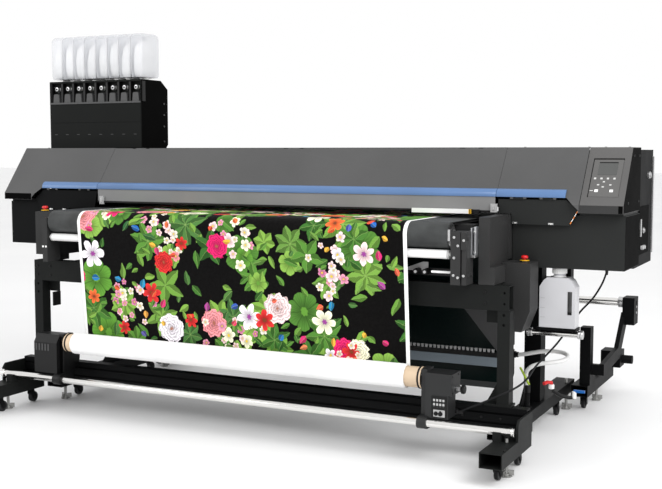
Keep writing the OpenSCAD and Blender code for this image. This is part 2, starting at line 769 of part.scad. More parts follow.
module feed_wheel(x) placed() color([0.1, 0.1, 0.1]) {
    rod_x(x - wheel_w / 2, x + wheel_w / 2, feed_wheel_y, axle_z, wheel_r);
    rod_x(x - 15, x + 15, feed_wheel_y, axle_z, axle_r);
}
module feed_wheel_left() feed_wheel(-feed_wheel_x);
module feed_wheel_right() feed_wheel(feed_wheel_x);

// Swivelling fork with its plate just under the foot; the stem goes up into the foot
module caster_fork(i) placed() translate([caster_xy[i][0], caster_xy[i][1], 0]) color([0.15, 0.15, 0.16]) {
    rod_z(wheel_r * 2 + 5, foot_z - 1, 0, 0, 17);
    for (x = [-wheel_w / 2 - 1 - fork_t, wheel_w / 2 + 1]) difference() {
        along_x(x, x + fork_t) polygon([
            [-12, wheel_r * 2 + 8], [12, wheel_r * 2 + 8],
            [caster_trail + 9, axle_z], [caster_trail + 6, axle_z - 8],
            [caster_trail - 6, axle_z - 8], [-12, wheel_r * 2 - 4]]);
        rod_x(x - 1, x + fork_t + 1, caster_trail, axle_z, axle_r + run_fit);
    }
}

module caster_wheel(i) placed() translate(concat(caster_xy[i] + [0, caster_trail], [0])) color([0.1, 0.1, 0.1]) {
    rod_x(-wheel_w / 2, wheel_w / 2, 0, axle_z, wheel_r);
    rod_x(-wheel_w / 2 - fork_t - 1, wheel_w / 2 + fork_t + 1, 0, axle_z, axle_r);
}

// ---------- take-up ----------

module takeup_core() placed() color([0.80, 0.62, 0.44]) {
    difference() {
        rod_x(core_left, core_right, roll_y, roll_z, core_r);
        rod_x(core_left - 1, core_right + 1, roll_y, roll_z, core_r - 4);
    }
    // Chucks plugged into both ends
    for (end = [[core_left - 14, core_left], [core_right, core_right + 14]])
        rod_x(end[0], end[1], roll_y, roll_z, core_r + 2);
    rod_x(core_left - 0.1, core_left + 30, roll_y, roll_z, core_r - 4);
    rod_x(core_right - 30, core_right + 0.1, roll_y, roll_z, core_r - 4);
    rod_x(core_left - 46, core_left - 14, roll_y, roll_z, spindle_r);
    rod_x(core_right + 14, core_right + 46, roll_y, roll_z, spindle_r);
}

module takeup_roll() placed() color([0.95, 0.95, 0.94]) difference() {
    rod_x(roll_left, roll_right, roll_y, roll_z, roll_r);
    rod_x(roll_left - 1, roll_right + 1, roll_y, roll_z, core_r);
}

module rail_clamp(x0, x1) difference() {
    union() {
        rod_x(x0, x1, rail_y, rail_z, rail_r + 9);
        span([x0, rail_y, rail_z - rail_r - 9], [x1, rail_y + 34, rail_z + rail_r + 9]);
    }
    rod_x(x0 - 1, x1 + 1, rail_y, rail_z, rail_r + run_fit);
}

module takeup_unit_right() placed() color([0.18, 0.18, 0.19]) {
    x = core_right + 17;
    rail_clamp(x - 4, x + 36);
    difference() {
        union() {
            span([x, -538, 150], [x + 25, -468, 385]);
            span([x + 24, -556, 290], [1030, -456, 375]);
            span([x + 24, -556, 195], [1015, -470, 291]);
        }
        rod_x(x - 1, x + 30, roll_y, roll_z, spindle_r + run_fit);
        rod_x(x - 1, x + 26, rail_y, rail_z, rail_r + 1);
        rod_y(-557, -540, 985, 216, 6.5);
        span([x + 28, -552, 199], [1011, -474, 287]);
    }
    rod_x(1030, 1052, -500, 310, 9);
    rod_x(1052, 1066, -500, 310, 16);
    // Gland of the cable
    rod_x(1014, cable_end[0] - 1, cable_end[1], cable_end[2], cable_r * 2);
}

// Toggle for the winding direction, turning in the front of the right unit
module winding_switch() placed() color([0.1, 0.1, 0.1]) {
    rod_y(-562, -556.3, 985, 216, 9);
    rod_y(-556.4, -545, 985, 216, 6.2);
    span([983, -568, 214], [987, -561, 228]);
}

module takeup_unit_left() placed() color([0.14, 0.14, 0.15]) {
    x = core_left - 17;
    rail_clamp(x - 36, x + 4);
    difference() {
        union() {
            span([x - 25, -538, 150], [x, -468, 385]);
            along_x(x - 160, x - 24) polygon([
                [-560, 290], [-560, 345], [-535, 382], [-470, 382], [-448, 360], [-448, 200], [-560, 200]]);
        }
        rod_x(x - 30, x + 1, roll_y, roll_z, spindle_r + run_fit);
        rod_x(x - 26, x + 1, rail_y, rail_z, rail_r + 1);
    }
    // Motor behind and its drive cover
    rod_x(x - 205, x - 60, -447, 268, 37);
    rod_x(x - 25, x - 10, -462, 262, 52);
}

module takeup_cable() placed() color([0.05, 0.05, 0.05]) swept(cable_route, cable_r, cable_sides);

// ---------- fabric ----------

module printed_fabric() placed() color([0.15, 0.25, 0.15]) along_x(fabric_left, fabric_right) {
    // On the belt, up to the roller
    translate([roller_front, roller_z + fabric_in_r]) square([fabric_back - roller_front, fabric_t]);
    // Round the roller
    translate([roller_front, roller_z]) difference() {
        circle(fabric_out_r, $fn = 96);
        circle(fabric_in_r, $fn = 96);
        translate([0, -100]) square([100, 200]);
        translate([-100, -100]) square([200, 100]);
    }
    // Down to the back of the roll
    polygon([
        [roller_front - fabric_in_r, roller_z], [roller_front - fabric_out_r, roller_z],
        [roll_y + roll_r + fabric_gap, roll_z], [roll_y + roll_r + fabric_gap + fabric_t, roll_z]]);
}

main_stand();
belt_stand();
takeup_stand();
takeup_beam();
takeup_rail();
feed_stand();
levelling_feet();
rear_casing();
left_end_cover();
right_end_cover();
control_panel();
left_lower_casing();
right_lower_casing();
carriage_beam();
ink_cabinet();
ink_packs();
belt_frame();
conveyor_belt();
wash_unit();
power_box();
waste_tank();
drain_hose();
takeup_unit_right();
takeup_cable();
printed_fabric();
front_cover();
front_window();
front_accent_strip();
left_maintenance_cover();
right_maintenance_cover();
print_carriage();
drive_roller();
rear_roller();
guide_roller();
takeup_core();
takeup_roll();
takeup_unit_left();
feed_shaft();
estop_left();
estop_right();
winding_switch();
capping_station();
for (i = [0:7]) caster_fork(i);
for (i = [0:7]) caster_wheel(i);
feed_wheel_left();
feed_wheel_right();
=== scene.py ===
from math import cos, dist, pi, radians, sin, sqrt

import bmesh
import bpy
from mathutils import Matrix, Vector


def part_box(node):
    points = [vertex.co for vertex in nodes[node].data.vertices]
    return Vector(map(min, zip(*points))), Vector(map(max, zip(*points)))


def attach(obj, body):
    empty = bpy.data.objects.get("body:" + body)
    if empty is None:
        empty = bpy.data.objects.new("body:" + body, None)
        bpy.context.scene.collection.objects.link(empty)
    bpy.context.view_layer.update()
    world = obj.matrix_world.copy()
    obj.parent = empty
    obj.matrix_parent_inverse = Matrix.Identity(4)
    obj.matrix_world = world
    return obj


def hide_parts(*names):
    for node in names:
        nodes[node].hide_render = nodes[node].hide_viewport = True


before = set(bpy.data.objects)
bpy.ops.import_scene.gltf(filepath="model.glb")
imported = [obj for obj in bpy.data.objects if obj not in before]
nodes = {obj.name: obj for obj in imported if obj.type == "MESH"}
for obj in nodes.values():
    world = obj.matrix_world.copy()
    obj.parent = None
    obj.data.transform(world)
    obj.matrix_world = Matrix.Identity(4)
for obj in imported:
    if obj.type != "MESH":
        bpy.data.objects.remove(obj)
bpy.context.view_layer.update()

# The casing's top front edge, from which most places are told, in the row frame
FOLD_DEPTH = 0.175
EDGE_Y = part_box("control_panel")[0][1] + FOLD_DEPTH
TOP_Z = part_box("control_panel")[1][2]


def at(x, y, z):
    """A place in millimetres from the casing's top front edge, floor at 0, as a point in the row frame."""
    return Vector((x / 1000, y / 1000 + EDGE_Y, z / 1000))


# ---------- camera, floor and light

FLOOR_HALF = 60


def make_camera():
    data = bpy.data.cameras.new("camera")
    data.lens = 59.15
    data.sensor_width = 36
    data.clip_end = 100
    camera = bpy.data.objects.new("camera", data)
    camera.location = (2.4755, -4.7686, 1.2470)
    camera.rotation_euler = (radians(90 - 4.884), 0, radians(26.435))
    bpy.context.scene.collection.objects.link(camera)
    bpy.context.scene.camera = camera


def area_light(name, place, aim, size, power, colour=(1, 1, 1)):
    data = bpy.data.lights.new(name, "AREA")
    data.shape = "RECTANGLE"
    data.size, data.size_y = size
    data.energy = power
    data.color = colour
    lamp = bpy.data.objects.new(name, data)
    lamp.location = place
    lamp.rotation_euler = (Vector(aim) - Vector(place)).to_track_quat("-Z", "Y").to_euler()
    bpy.context.scene.collection.objects.link(lamp)


def make_studio():
    bpy.context.scene.view_settings.view_transform = "Standard"
    world = bpy.data.worlds.new("studio")
    world.use_nodes = True
    world.node_tree.nodes["Background"].inputs["Color"].default_value = (1, 1, 1, 1)
    world.node_tree.nodes["Background"].inputs["Strength"].default_value = 1.0
    bpy.context.scene.world = world
    area_light("key", (4.5, -3.2, 4.6), (0.4, 0, 0.9), (4, 3), 260)
    area_light("fill", (-4.5, -5.0, 3.2), (-0.5, 0, 0.7), (3, 3), 90)
    mesh = bpy.data.meshes.new("floor")
    corners = [(x * FLOOR_HALF, y * FLOOR_HALF, 0) for x, y in ((-1, -1), (1, -1), (1, 1), (-1, 1))]
    mesh.from_pydata(corners, [], [(0, 1, 2, 3)])
    floor = bpy.data.objects.new("floor", mesh)
    bpy.context.scene.collection.objects.link(floor)
    s = Shader("floor_paint")
    cloud = s.noise(0.6, 2)
    s.set("Base Color", s.ramp(cloud, [(0.3, (0.86, 0.86, 0.865)), (0.7, (0.89, 0.89, 0.89))]))
    s.set("Roughness", 0.6)
    s.set("Specular IOR Level", 0.2)
    mesh.materials.append(s.material)


# ---------- shader nodes

class Shader:
    """A Principled material and short ways to add nodes to it."""

    def __init__(self, name):
        self.material = bpy.data.materials.new(name)
        self.material.use_nodes = True
        self.tree = self.material.node_tree
        self.bsdf = self.tree.nodes["Principled BSDF"]
        self.coords = self.add("ShaderNodeTexCoord").outputs["Object"]

    def add(self, kind, inputs=None, **settings):
        """A new node with its settings, and with numbers, colours or other nodes' outputs in its inputs."""
        node = self.tree.nodes.new(kind)
        for key, value in settings.items():
            setattr(node, key, value)
        for key, value in (inputs or {}).items():
            self.feed(node.inputs[key], value)
        return node

    def feed(self, socket, value):
        if isinstance(value, bpy.types.NodeSocket):
            self.tree.links.new(value, socket)
        elif hasattr(value, "__len__") and len(value) == 3 and socket.type == "RGBA":
            socket.default_value = (*value, 1)
        else:
            socket.default_value = value

    def set(self, name, value):
        self.feed(self.bsdf.inputs[name], value)

    def math(self, operation, a, b=0.0, c=0.0):
        return self.add("ShaderNodeMath", {0: a, 1: b, 2: c}, operation=operation).outputs[0]

    def times(self, a, b):
        return self.math("MULTIPLY", a, b)

    def plus(self, a, b):
        return self.math("ADD", a, b)

    def minus(self, a, b):
        return self.math("SUBTRACT", a, b)

    def sine(self, a):
        return self.math("SINE", a)

    def noise(self, scale, detail=3, stretch=None):
        place = self.coords
        if stretch:
            scaling = self.add("ShaderNodeVectorMath", {0: place, 1: stretch}, operation="MULTIPLY")
            place = scaling.outputs["Vector"]
        node = self.add("ShaderNodeTexNoise", {"Vector": place, "Scale": scale, "Detail": detail})
        return node.outputs["Fac"]

    def ramp(self, fac, stops, mode="LINEAR"):
        node = self.add("ShaderNodeValToRGB", {"Fac": fac})
        ramp = node.color_ramp
        ramp.interpolation = mode
        while len(ramp.elements) < len(stops):
            ramp.elements.new(0.5)
        for element, (place, colour) in zip(ramp.elements, stops):
            element.position = place
            element.color = (*colour, 1)
        return node.outputs["Color"]

    def shades(self, fac, colour, dark, pale):
        return self.ramp(fac, [(0.3, tinted(colour, dark)), (0.7, tinted(colour, pale))])

    def fade(self, value, low, high, to_low=0.0, to_high=1.0):
        inputs = {"Value": value, "From Min": low, "From Max": high, "To Min": to_low, "To Max": to_high}
        return self.add("ShaderNodeMapRange", inputs, interpolation_type="SMOOTHSTEP").outputs["Result"]

    def mix(self, fac, a, b):
        return self.add("ShaderNodeMix", {"Factor": fac, 6: a, 7: b}, data_type="RGBA").outputs[2]

    def bump(self, height, distance, strength=1.0):
        node = self.add("ShaderNodeBump", {"Height": height, "Distance": distance, "Strength": strength})
        self.set("Normal", node.outputs["Normal"])


def tinted(colour, factor):
    return tuple(min(1.0, c * factor) for c in colour)


def painted(name, colour, rough, gloss):
    """Powder-coated sheet: a fine orange peel, faint clouds, and patches that shine a little more."""
    s = Shader(name)
    cloudy = s.noise(2.3, 4)
    fine = s.noise(900, 2)
    tone = s.shades(cloudy, colour, 0.88, 1.12)
    s.set("Base Color", s.mix(s.fade(fine, 0.55, 0.75), tone, tinted(colour, 1.35)))
    s.set("Roughness", s.plus(s.times(s.noise(9, 4), 0.16), rough - 0.08))
    s.bump(fine, 0.00006)
    s.set("Specular IOR Level", gloss)
    return s.material


def metal(name, colour, rough):
    """Bare metal with fine lines along its length."""
    s = Shader(name)
    lines = s.noise(30, 4, stretch=(1, 60, 60))
    s.set("Base Color", s.ramp(lines, [(0.25, tinted(colour, 0.82)), (0.75, tinted(colour, 1.08))]))
    s.bsdf.inputs["Metallic"].default_value = 1.0
    s.set("Roughness", s.fade(lines, 0.2, 0.8, rough * 0.7, rough * 1.4))
    s.bump(lines, 0.00003)
    return s.material


def rubber(name, colour, rough=0.75):
    s = Shader(name)
    fine = s.noise(400, 3)
    s.set("Base Color", s.shades(s.noise(12, 4), colour, 0.8, 1.5))
    s.set("Roughness", s.fade(fine, 0.3, 0.7, rough - 0.1, rough + 0.1))
    s.bump(fine, 0.0001)
    s.set("Specular IOR Level", 0.2)
    return s.material


def moulded(name, colour, rough, gloss=0.3, coat=0.0, alpha=1.0):
    """Moulded plastic with a spark-eroded grain."""
    s = Shader(name)
    fine = s.noise(650, 2)
    s.set("Base Color", s.shades(s.noise(4, 3), colour, 0.92, 1.08))
    s.set("Roughness", s.fade(fine, 0.3, 0.7, rough - 0.06, rough + 0.06))
    s.bump(fine, 0.00004)
    s.set("Specular IOR Level", gloss)
    s.set("Coat Weight", coat)
    s.set("Alpha", alpha)
    return s.material


# ---------- the printed cloth's pattern

# Stops of colour ramps, from which each flower or leaf takes one colour by chance
GREENS = [(0.0, (0.030, 0.115, 0.022)), (0.35, (0.085, 0.23, 0.035)),
          (0.7, (0.20, 0.38, 0.06)), (1.0, (0.02, 0.10, 0.035))]
BROAD = [(0.0, (0.10, 0.27, 0.035)), (0.4, (0.22, 0.40, 0.07)), (0.75, (0.07, 0.19, 0.03))]
PINKS = [(0.0, (0.75, 0.30, 0.42)), (0.3, (0.85, 0.62, 0.62)),
         (0.55, (0.80, 0.72, 0.62)), (0.8, (0.62, 0.20, 0.36))]
HOTS = [(0.0, (0.62, 0.03, 0.03)), (0.35, (0.80, 0.14, 0.04)),
        (0.6, (0.70, 0.02, 0.14)), (0.85, (0.80, 0.42, 0.05))]
CREAMS = [(0.0, (0.86, 0.84, 0.62)), (0.35, (0.88, 0.66, 0.66)),
          (0.6, (0.80, 0.28, 0.30)), (0.8, (0.85, 0.80, 0.85))]
BLUES = [(0.0, (0.02, 0.30, 0.48)), (0.45, (0.02, 0.10, 0.42)), (0.75, (0.62, 0.03, 0.16))]
LEAF_HEART, PURPLE_HEART, BROWN_HEART = (0.12, 0.30, 0.04), (0.30, 0.05, 0.28), (0.2, 0.05, 0.02)
YARN = 0.0009


class Print(Shader):
    """Flowers and leaves drawn in the cloth's own plane, in metres, layer on layer over black.

    All but the colours is kept in single numbers, and each node is added after what feeds it, because
    the renderer's stack is small.
    """

    def __init__(self, name):
        super().__init__(name)
        uv = self.add("ShaderNodeUVMap", uv_map="cloth").outputs["UV"]
        plane = self.add("ShaderNodeSeparateXYZ", {0: uv})
        self.across, self.along = plane.outputs[0], plane.outputs[1]
        sway = self.wobble(uv, 28, 2)
        self.x = self.mad(sway[0], 0.012, self.plus(self.across, -0.006))
        self.y = self.mad(sway[1], 0.012, self.plus(self.along, -0.006))
        self.ruffle = [self.mad(value, 0.016, -0.008) for value in self.wobble(uv, 75, 3)]

    def mad(self, a, b, c):
        return self.math("MULTIPLY_ADD", a, b, c)

    def wobble(self, place, scale, detail):
        """Two smooth random numbers between 0 and 1."""
        inputs = {"Vector": place, "Scale": scale, "Detail": detail}
        return self.numbers(self.add("ShaderNodeTexNoise", inputs, noise_dimensions="2D"))[:2]

    def numbers(self, node):
        return list(self.add("ShaderNodeSeparateColor", {0: node.outputs["Color"]}).outputs)[:3]

    def chance(self, number):
        """Three random numbers for each value of number."""
        return self.numbers(self.add("ShaderNodeTexWhiteNoise", {"W": number}, noise_dimensions="1D"))

    def cells(self, size, angle, offset, seed, share, bare):
        """Coordinates turned by chance about each cell's own centre, random numbers, and 1 where it blooms.

        share is how many cells bloom, out of the gaps between bouquets, which are wider the higher bare is.
        """
        c, s = cos(angle), sin(angle)
        px = self.mad(self.x, c / size, self.mad(self.y, -s / size, offset[0]))
        py = self.mad(self.x, s / size, self.mad(self.y, c / size, offset[1]))
        cx, cy = self.math("FLOOR", px), self.math("FLOOR", py)
        number = self.mad(cx, 12.713, self.mad(cy, 31.177, seed))
        luck = self.chance(number)
        more = self.chance(self.plus(number, 0.531))
        spread = 0.3
        edge = (spread - 1) * size / 2
        lx = self.mad(self.minus(px, cx), size, self.mad(luck[0], -spread * size, edge))
        ly = self.mad(self.minus(py, cy), size, self.mad(luck[1], -spread * size, edge))
        turn = self.times(more[0], 2 * pi)
        cosine, sine = self.math("COSINE", turn), self.sine(turn)
        x = self.minus(self.times(lx, cosine), self.times(ly, sine))
        y = self.mad(lx, sine, self.times(ly, cosine))
        blooms = self.math("LESS_THAN", luck[2], share)
        if bare is not None:
            dx, dy = 0.5 - offset[0], 0.5 - offset[1]
            gx = self.mad(cx, c * size, self.mad(cy, s * size, (c * dx + s * dy) * size))
            gy = self.mad(cx, -s * size, self.mad(cy, c * size, (c * dy - s * dx) * size))
            waves = [self.sine(self.mad(gx, a, self.mad(gy, b, p)))
                     for a, b, p in ((13, 2, 0.7), (-3, 15, 2.1), (9, 11, 4.0), (17, -8, 1.0))]
            field = self.plus(self.plus(*waves[:2]), self.plus(*waves[2:]))
            blooms = self.times(blooms, self.math("GREATER_THAN", field, bare))
        return x, y, more[1], more[2], blooms

    def polar(self, x, y):
        return self.math("SQRT", self.mad(x, x, self.times(y, y))), self.math("ARCTAN2", y, x)

    def inside(self, distance, limit, edge=0.0012):
        return self.fade(self.minus(limit, distance), 0, edge)

    def dim(self, colour, factor):
        return self.add("ShaderNodeHueSaturation", {"Color": colour, "Value": factor}).outputs["Color"]

    def leaves(self, base, size, length, width, count, angle, offset, seed, share, bare, greens=GREENS):
        """Whorls of count pointed leaves, or single ones: a midrib, side veins, a light and a dark half."""
        x, y, grow, pick, blooms = self.cells(size, angle, offset, seed, share, bare)
        if count == 1:
            along, across = self.plus(x, length / 2), y
        else:
            r, theta = self.polar(x, y)
            sector = 2 * pi / count
            folded = self.minus(self.math("MODULO", self.plus(theta, 2 * pi), sector), sector / 2)
            along = self.times(r, self.math("COSINE", folded))
            across = self.times(r, self.sine(folded))
        reach = self.mad(grow, 0.5 * length, 0.62 * length)
        part = self.math("MINIMUM", self.math("MAXIMUM", self.math("DIVIDE", along, reach), 0.0), 1.0)
        belly = self.sine(self.times(self.math("POWER", part, 0.8), pi))
        off = self.math("ABSOLUTE", across)
        mask = self.times(self.inside(off, self.times(self.math("POWER", belly, 0.8), width)), blooms)
        side = self.fade(across, -0.002, 0.002, 0.62, 1.15)
        veins = self.sine(self.times(self.mad(off, -1.3, along), 620))
        tone = self.dim(self.ramp(pick, greens), self.mad(veins, 0.12, side))
        rib = self.times(self.inside(off, 0.0009, 0.0006), 0.6)
        return self.mix(mask, base, self.mix(rib, tone, (0.36, 0.50, 0.16)))

    def blossom(self, base, size, radius, petals, angle, offset, seed, colours, share, bare,
                deep=0.45, heart=(0.75, 0.55, 0.05)):
        """Open flowers with separate petals, darker towards the middle, and a small heart."""
        x, y, grow, pick, blooms = self.cells(size, angle, offset, seed, share, bare)
        r, theta = self.polar(x, y)
        reach = self.mad(grow, 0.4 * radius, 0.7 * radius)
        lobes = self.math("ABSOLUTE", self.math("COSINE", self.times(theta, petals / 2)))
        outline = self.times(reach, self.mad(self.math("POWER", lobes, 0.55), deep, 1 - deep))
        mask = self.times(self.inside(r, outline), blooms)
        part = self.math("DIVIDE", r, outline)
        streaks = self.sine(self.times(theta, petals * 5.0))
        depth = self.mad(streaks, 0.10, self.fade(part, 0.1, 0.95, 0.55, 1.15))
        gap = self.fade(lobes, 0.0, 0.35, 0.55, 1.0)
        tone = self.dim(self.ramp(pick, colours, "CONSTANT"), self.times(depth, gap))
        return self.mix(mask, base, self.mix(self.fade(part, 0.18, 0.26, 1.0, 0.0), tone, heart))

    def rose(self, base, size, radius, angle, offset, seed, colours, share):
        """Full double flowers: rings of ruffled petals turning round a dark heart."""
        x, y, grow, pick, blooms = self.cells(size, angle, offset, seed, share, None)
        r, theta = self.polar(self.plus(x, self.ruffle[0]), self.plus(y, self.ruffle[1]))
        reach = self.mad(grow, 0.35 * radius, 0.75 * radius)
        scallops = self.math("ABSOLUTE", self.sine(self.times(theta, 4.5)))
        outline = self.times(reach, self.mad(scallops, 0.14, 0.88))
        mask = self.times(self.inside(r, outline), blooms)
        part = self.math("DIVIDE", r, outline)
        swirl = self.mad(self.math("POWER", part, 0.8), 5.2, self.times(theta, 1 / (2 * pi)))
        swirl = self.mad(self.sine(self.times(theta, 2.5)), 0.42, swirl)
        ring = self.math("FRACT", swirl)
        shade = self.times(self.fade(ring, 0.0, 0.85, 0.50, 1.18), self.fade(part, 0.0, 0.8, 0.62, 1.12))
        tone = self.dim(self.ramp(pick, colours, "CONSTANT"), shade)
        heart = self.fade(part, 0.02, 0.2, 1.0, 0.0)
        return self.mix(mask, base, self.mix(heart, tone, (0.35, 0.12, 0.06)))


def floral_print(width, edge):
    s = Print("floral_print")
    c = s.ramp(s.noise(3, 2), [(0.3, (0.0008, 0.0006, 0.0006)), (0.7, (0.0016, 0.0012, 0.0010))])
    # Green under everything, then sprays, then the large flowers with small ones over them
    c = s.blossom(c, 0.270, 0.118, 7, 0.15, (0.71, 0.22), 2.0, BROAD, 0.62, None, 0.22, LEAF_HEART)
    c = s.leaves(c, 0.235, 0.112, 0.024, 7, 0.35, (0.31, 0.12), 3.0, 0.72, -1.4)
    c = s.leaves(c, 0.185, 0.088, 0.020, 6, 1.15, (0.11, 0.43), 11.0, 0.6, -0.9)
    c = s.blossom(c, 0.170, 0.062, 6, 0.55, (0.05, 0.62), 5.0, BROAD, 0.45, -0.9, 0.22, LEAF_HEART)
    c = s.leaves(c, 0.112, 0.074, 0.016, 1, 0.80, (0.23, 0.71), 17.0, 0.62, -1.6)
    c = s.leaves(c, 0.084, 0.056, 0.013, 1, 2.10, (0.57, 0.19), 23.0, 0.5, -1.6)
    c = s.blossom(c, 0.050, 0.021, 5, 0.50, (0.37, 0.29), 31.0, PINKS, 0.60, 1.0)
    c = s.leaves(c, 0.075, 0.048, 0.011, 1, 1.70, (0.91, 0.33), 37.0, 0.4, -1.0)
    c = s.blossom(c, 0.085, 0.032, 5, 1.30, (0.77, 0.05), 41.0, CREAMS, 0.28, 0.0)
    c = s.rose(c, 0.300, 0.072, 0.25, (0.12, 0.64), 47.0, CREAMS, 0.42)
    c = s.leaves(c, 0.330, 0.100, 0.026, 5, 0.65, (0.52, 0.81), 53.0, 0.4, -0.2)
    c = s.blossom(c, 0.290, 0.070, 6, 0.95, (0.45, 0.27), 59.0, CREAMS, 0.32, None, 0.66, PURPLE_HEART)
    c = s.rose(c, 0.260, 0.054, 1.75, (0.85, 0.38), 61.0, HOTS, 0.36)
    c = s.blossom(c, 0.190, 0.046, 6, 0.15, (0.28, 0.93), 67.0, HOTS, 0.40, -1.2, 0.66, BROWN_HEART)
    c = s.blossom(c, 0.056, 0.022, 5, 2.30, (0.61, 0.47), 71.0, PINKS, 0.5, 1.4)
    c = s.leaves(c, 0.120, 0.046, 0.014, 1, 0.05, (0.19, 0.59), 79.0, 0.22, -1.6, BLUES)
    c = s.leaves(c, 0.105, 0.036, 0.012, 1, 1.05, (0.66, 0.14), 83.0, 0.28, -1.6, HOTS)
    margin = s.math("MINIMUM", s.across, s.minus(width, s.across))
    c = s.mix(s.inside(margin, edge, 0.0015), c, (0.90, 0.90, 0.89))
    s.set("Base Color", c)
    s.set("Roughness", s.fade(s.noise(90, 2), 0.3, 0.7, 0.62, 0.78))
    s.bsdf.inputs["Sheen Weight"].default_value = 0.02
    s.bsdf.inputs["Specular IOR Level"].default_value = 0.08
    weft = s.sine(s.times(s.across, 2 * pi / YARN))
    warp = s.sine(s.times(s.along, 2 * pi / YARN))
    s.bump(s.times(weft, warp), 0.00012, 0.6)
    return s.material


# ---------- meshes

def link(name, mesh, body, *materials):
    piece = bpy.data.objects.new(name, mesh)
    bpy.context.scene.collection.objects.link(piece)
    for material in materials:
        mesh.materials.append(material)
    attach(piece, body)
    return piece


def on_axis(axis, height, u, v):
    """The point at height along axis, u and v along the two others in their order."""
    return {"x": (height, u, v), "y": (u, height, v), "z": (u, v, height)}[axis]


class Mould:
    """Collects solids, told in millimetres from the casing's top front edge, into one piece."""

    def __init__(self):
        self.mesh = bmesh.new()

    def skin(self, rings, material, closed=True, loop=False):
        """Joins rings of points with faces, and closes the two ends."""
        rows = [[self.mesh.verts.new(at(*point)) for point in ring] for ring in rings]
        pairs = list(zip(rows, rows[1:])) + ([(rows[-1], rows[0])] if loop else [])
        faces = []
        for a, b in pairs:
            for k in range(len(a)):
                n = (k + 1) % len(a)
                faces.append(self.mesh.faces.new((a[k], a[n], b[n], b[k])))
        if closed and not loop:
            faces.append(self.mesh.faces.new(rows[0][::-1]))
            faces.append(self.mesh.faces.new(rows[-1]))
        for face in faces:
            face.material_index = material
        return self

    def block(self, low, high, material=0):
        corners = [(low[0], low[1]), (high[0], low[1]), (high[0], high[1]), (low[0], high[1])]
        return self.skin([[(x, y, z) for x, y in corners] for z in (low[2], high[2])], material)

    def on_slope(self, x, z, out, material=0):
        """A slab on the sloped front, out of it by out, between its lowest and highest x, z and out."""
        rings = []
        for o in out:
            rings.append([slope_point(x[a], z[b], o) for a, b in ((0, 0), (1, 0), (1, 1), (0, 1))])
        return self.skin(rings, material)

    def prism(self, outline, axis, low, high, material=0):
        """An outline drawn in the two other axes, run along axis."""
        return self.skin([[on_axis(axis, h, *p) for p in outline] for h in (low, high)], material)

    def lathe(self, profile, centre, axis, material=0, sides=28, loop=False, lobes=0, lobe=0.0):
        """A profile of (radius, height) pairs turned about axis through centre, fluted by lobes."""
        rings = []
        for radius, height in profile:
            ring = []
            for k in range(sides):
                a = 2 * pi * k / sides
                r = max(radius, 0.05) + (lobe * cos(lobes * a) if lobes else 0)
                shift = on_axis(axis, height, r * cos(a), r * sin(a))
                ring.append([c + d for c, d in zip(centre, shift)])
            rings.append(ring)
        return self.skin(rings, material, loop=loop)

    def tube(self, points, radius, material=0, sides=10):
        """A round bar or hose along points, its rings turned no more than its line turns."""
        line = [Vector(p) for p in points]
        rings = []
        side = None
        for i, point in enumerate(line):
            ahead = (line[min(i + 1, len(line) - 1)] - line[max(i - 1, 0)]).normalized()
            if side is None:
                side = ahead.orthogonal().normalized()
            side = (side - ahead * side.dot(ahead)).normalized()
            other = ahead.cross(side)
            angles = [2 * pi * k / sides for k in range(sides)]
            rings.append([point + radius * (cos(a) * side + sin(a) * other) for a in angles])
        return self.skin(rings, material)

    def cast(self, name, body, slot, *materials, bevel=0.5, smooth=38, replaces=()):
        bmesh.ops.recalc_face_normals(self.mesh, faces=self.mesh.faces)
        mesh = bpy.data.meshes.new(name)
        self.mesh.to_mesh(mesh)
        self.mesh.free()
        mesh.polygons.foreach_set("use_smooth", [True] * len(mesh.polygons))
        mesh.set_sharp_from_angle(angle=radians(smooth))
        piece = link(name, mesh, body, *(MATERIALS[m] for m in materials))
        if bevel:
            soften(piece, bevel)
        if replaces:
            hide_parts(*replaces)
        return piece


def soften(piece, width):
    bevel = piece.modifiers.new("bevel", "BEVEL")
    bevel.width = width / 1000
    bevel.segments = 2
    bevel.limit_method = "ANGLE"
    bevel.angle_limit = radians(35)
    bevel.harden_normals = True


def smooth_line(points, steps=4):
    """A round curve through the points."""
    line = [Vector(p) for p in points]
    ends = [line[0] * 2 - line[1]] + line + [line[-1] * 2 - line[-2]]
    result = []
    for a, b, c, d in zip(ends, ends[1:], ends[2:], ends[3:]):
        for i in range(steps):
            t = i / steps
            square, cube = (2 * a - 5 * b + 4 * c - d) * t ** 2, (3 * b - a - 3 * c + d) * t ** 3
            result.append(0.5 * (2 * b + (c - a) * t + square + cube))
    return result + [line[-1]]


# The sloped front: from its top edge down to the fold
FOLD_Y, FOLD_Z = -175, 1033
SLOPE_RUN, SLOPE_RISE = -FOLD_Y, TOP_Z * 1000 - FOLD_Z
SLOPE_LENGTH = sqrt(SLOPE_RUN ** 2 + SLOPE_RISE ** 2)
SLOPE_Y, SLOPE_Z = SLOPE_RUN / SLOPE_LENGTH, SLOPE_RISE / SLOPE_LENGTH


def slope_point(x, z, out):
    y = -(TOP_Z * 1000 - z) * SLOPE_RUN / SLOPE_RISE
    return (x, y - out * SLOPE_Z, z + out * SLOPE_Y)


# A socket screw's head: shares of its radius, and heights above the face
SCREW_HEAD = [(0.45, 1.2), (0.5, 3.2), (0.88, 3.4), (1, 2.8), (1, -0.5)]


def mirrored(profile, sign):
    """A lathe's profile with its heights multiplied by sign."""
    return [(radius, height * sign) for radius, height in profile]


def screw(mould, centre, axis, sign, radius=5.0, material=0):
    """A socket screw's head standing on a face: sign is the way that it faces."""
    profile = [(radius * share, height) for share, height in SCREW_HEAD]
    return mould.lathe(mirrored(profile, sign), centre, axis, material, sides=18)


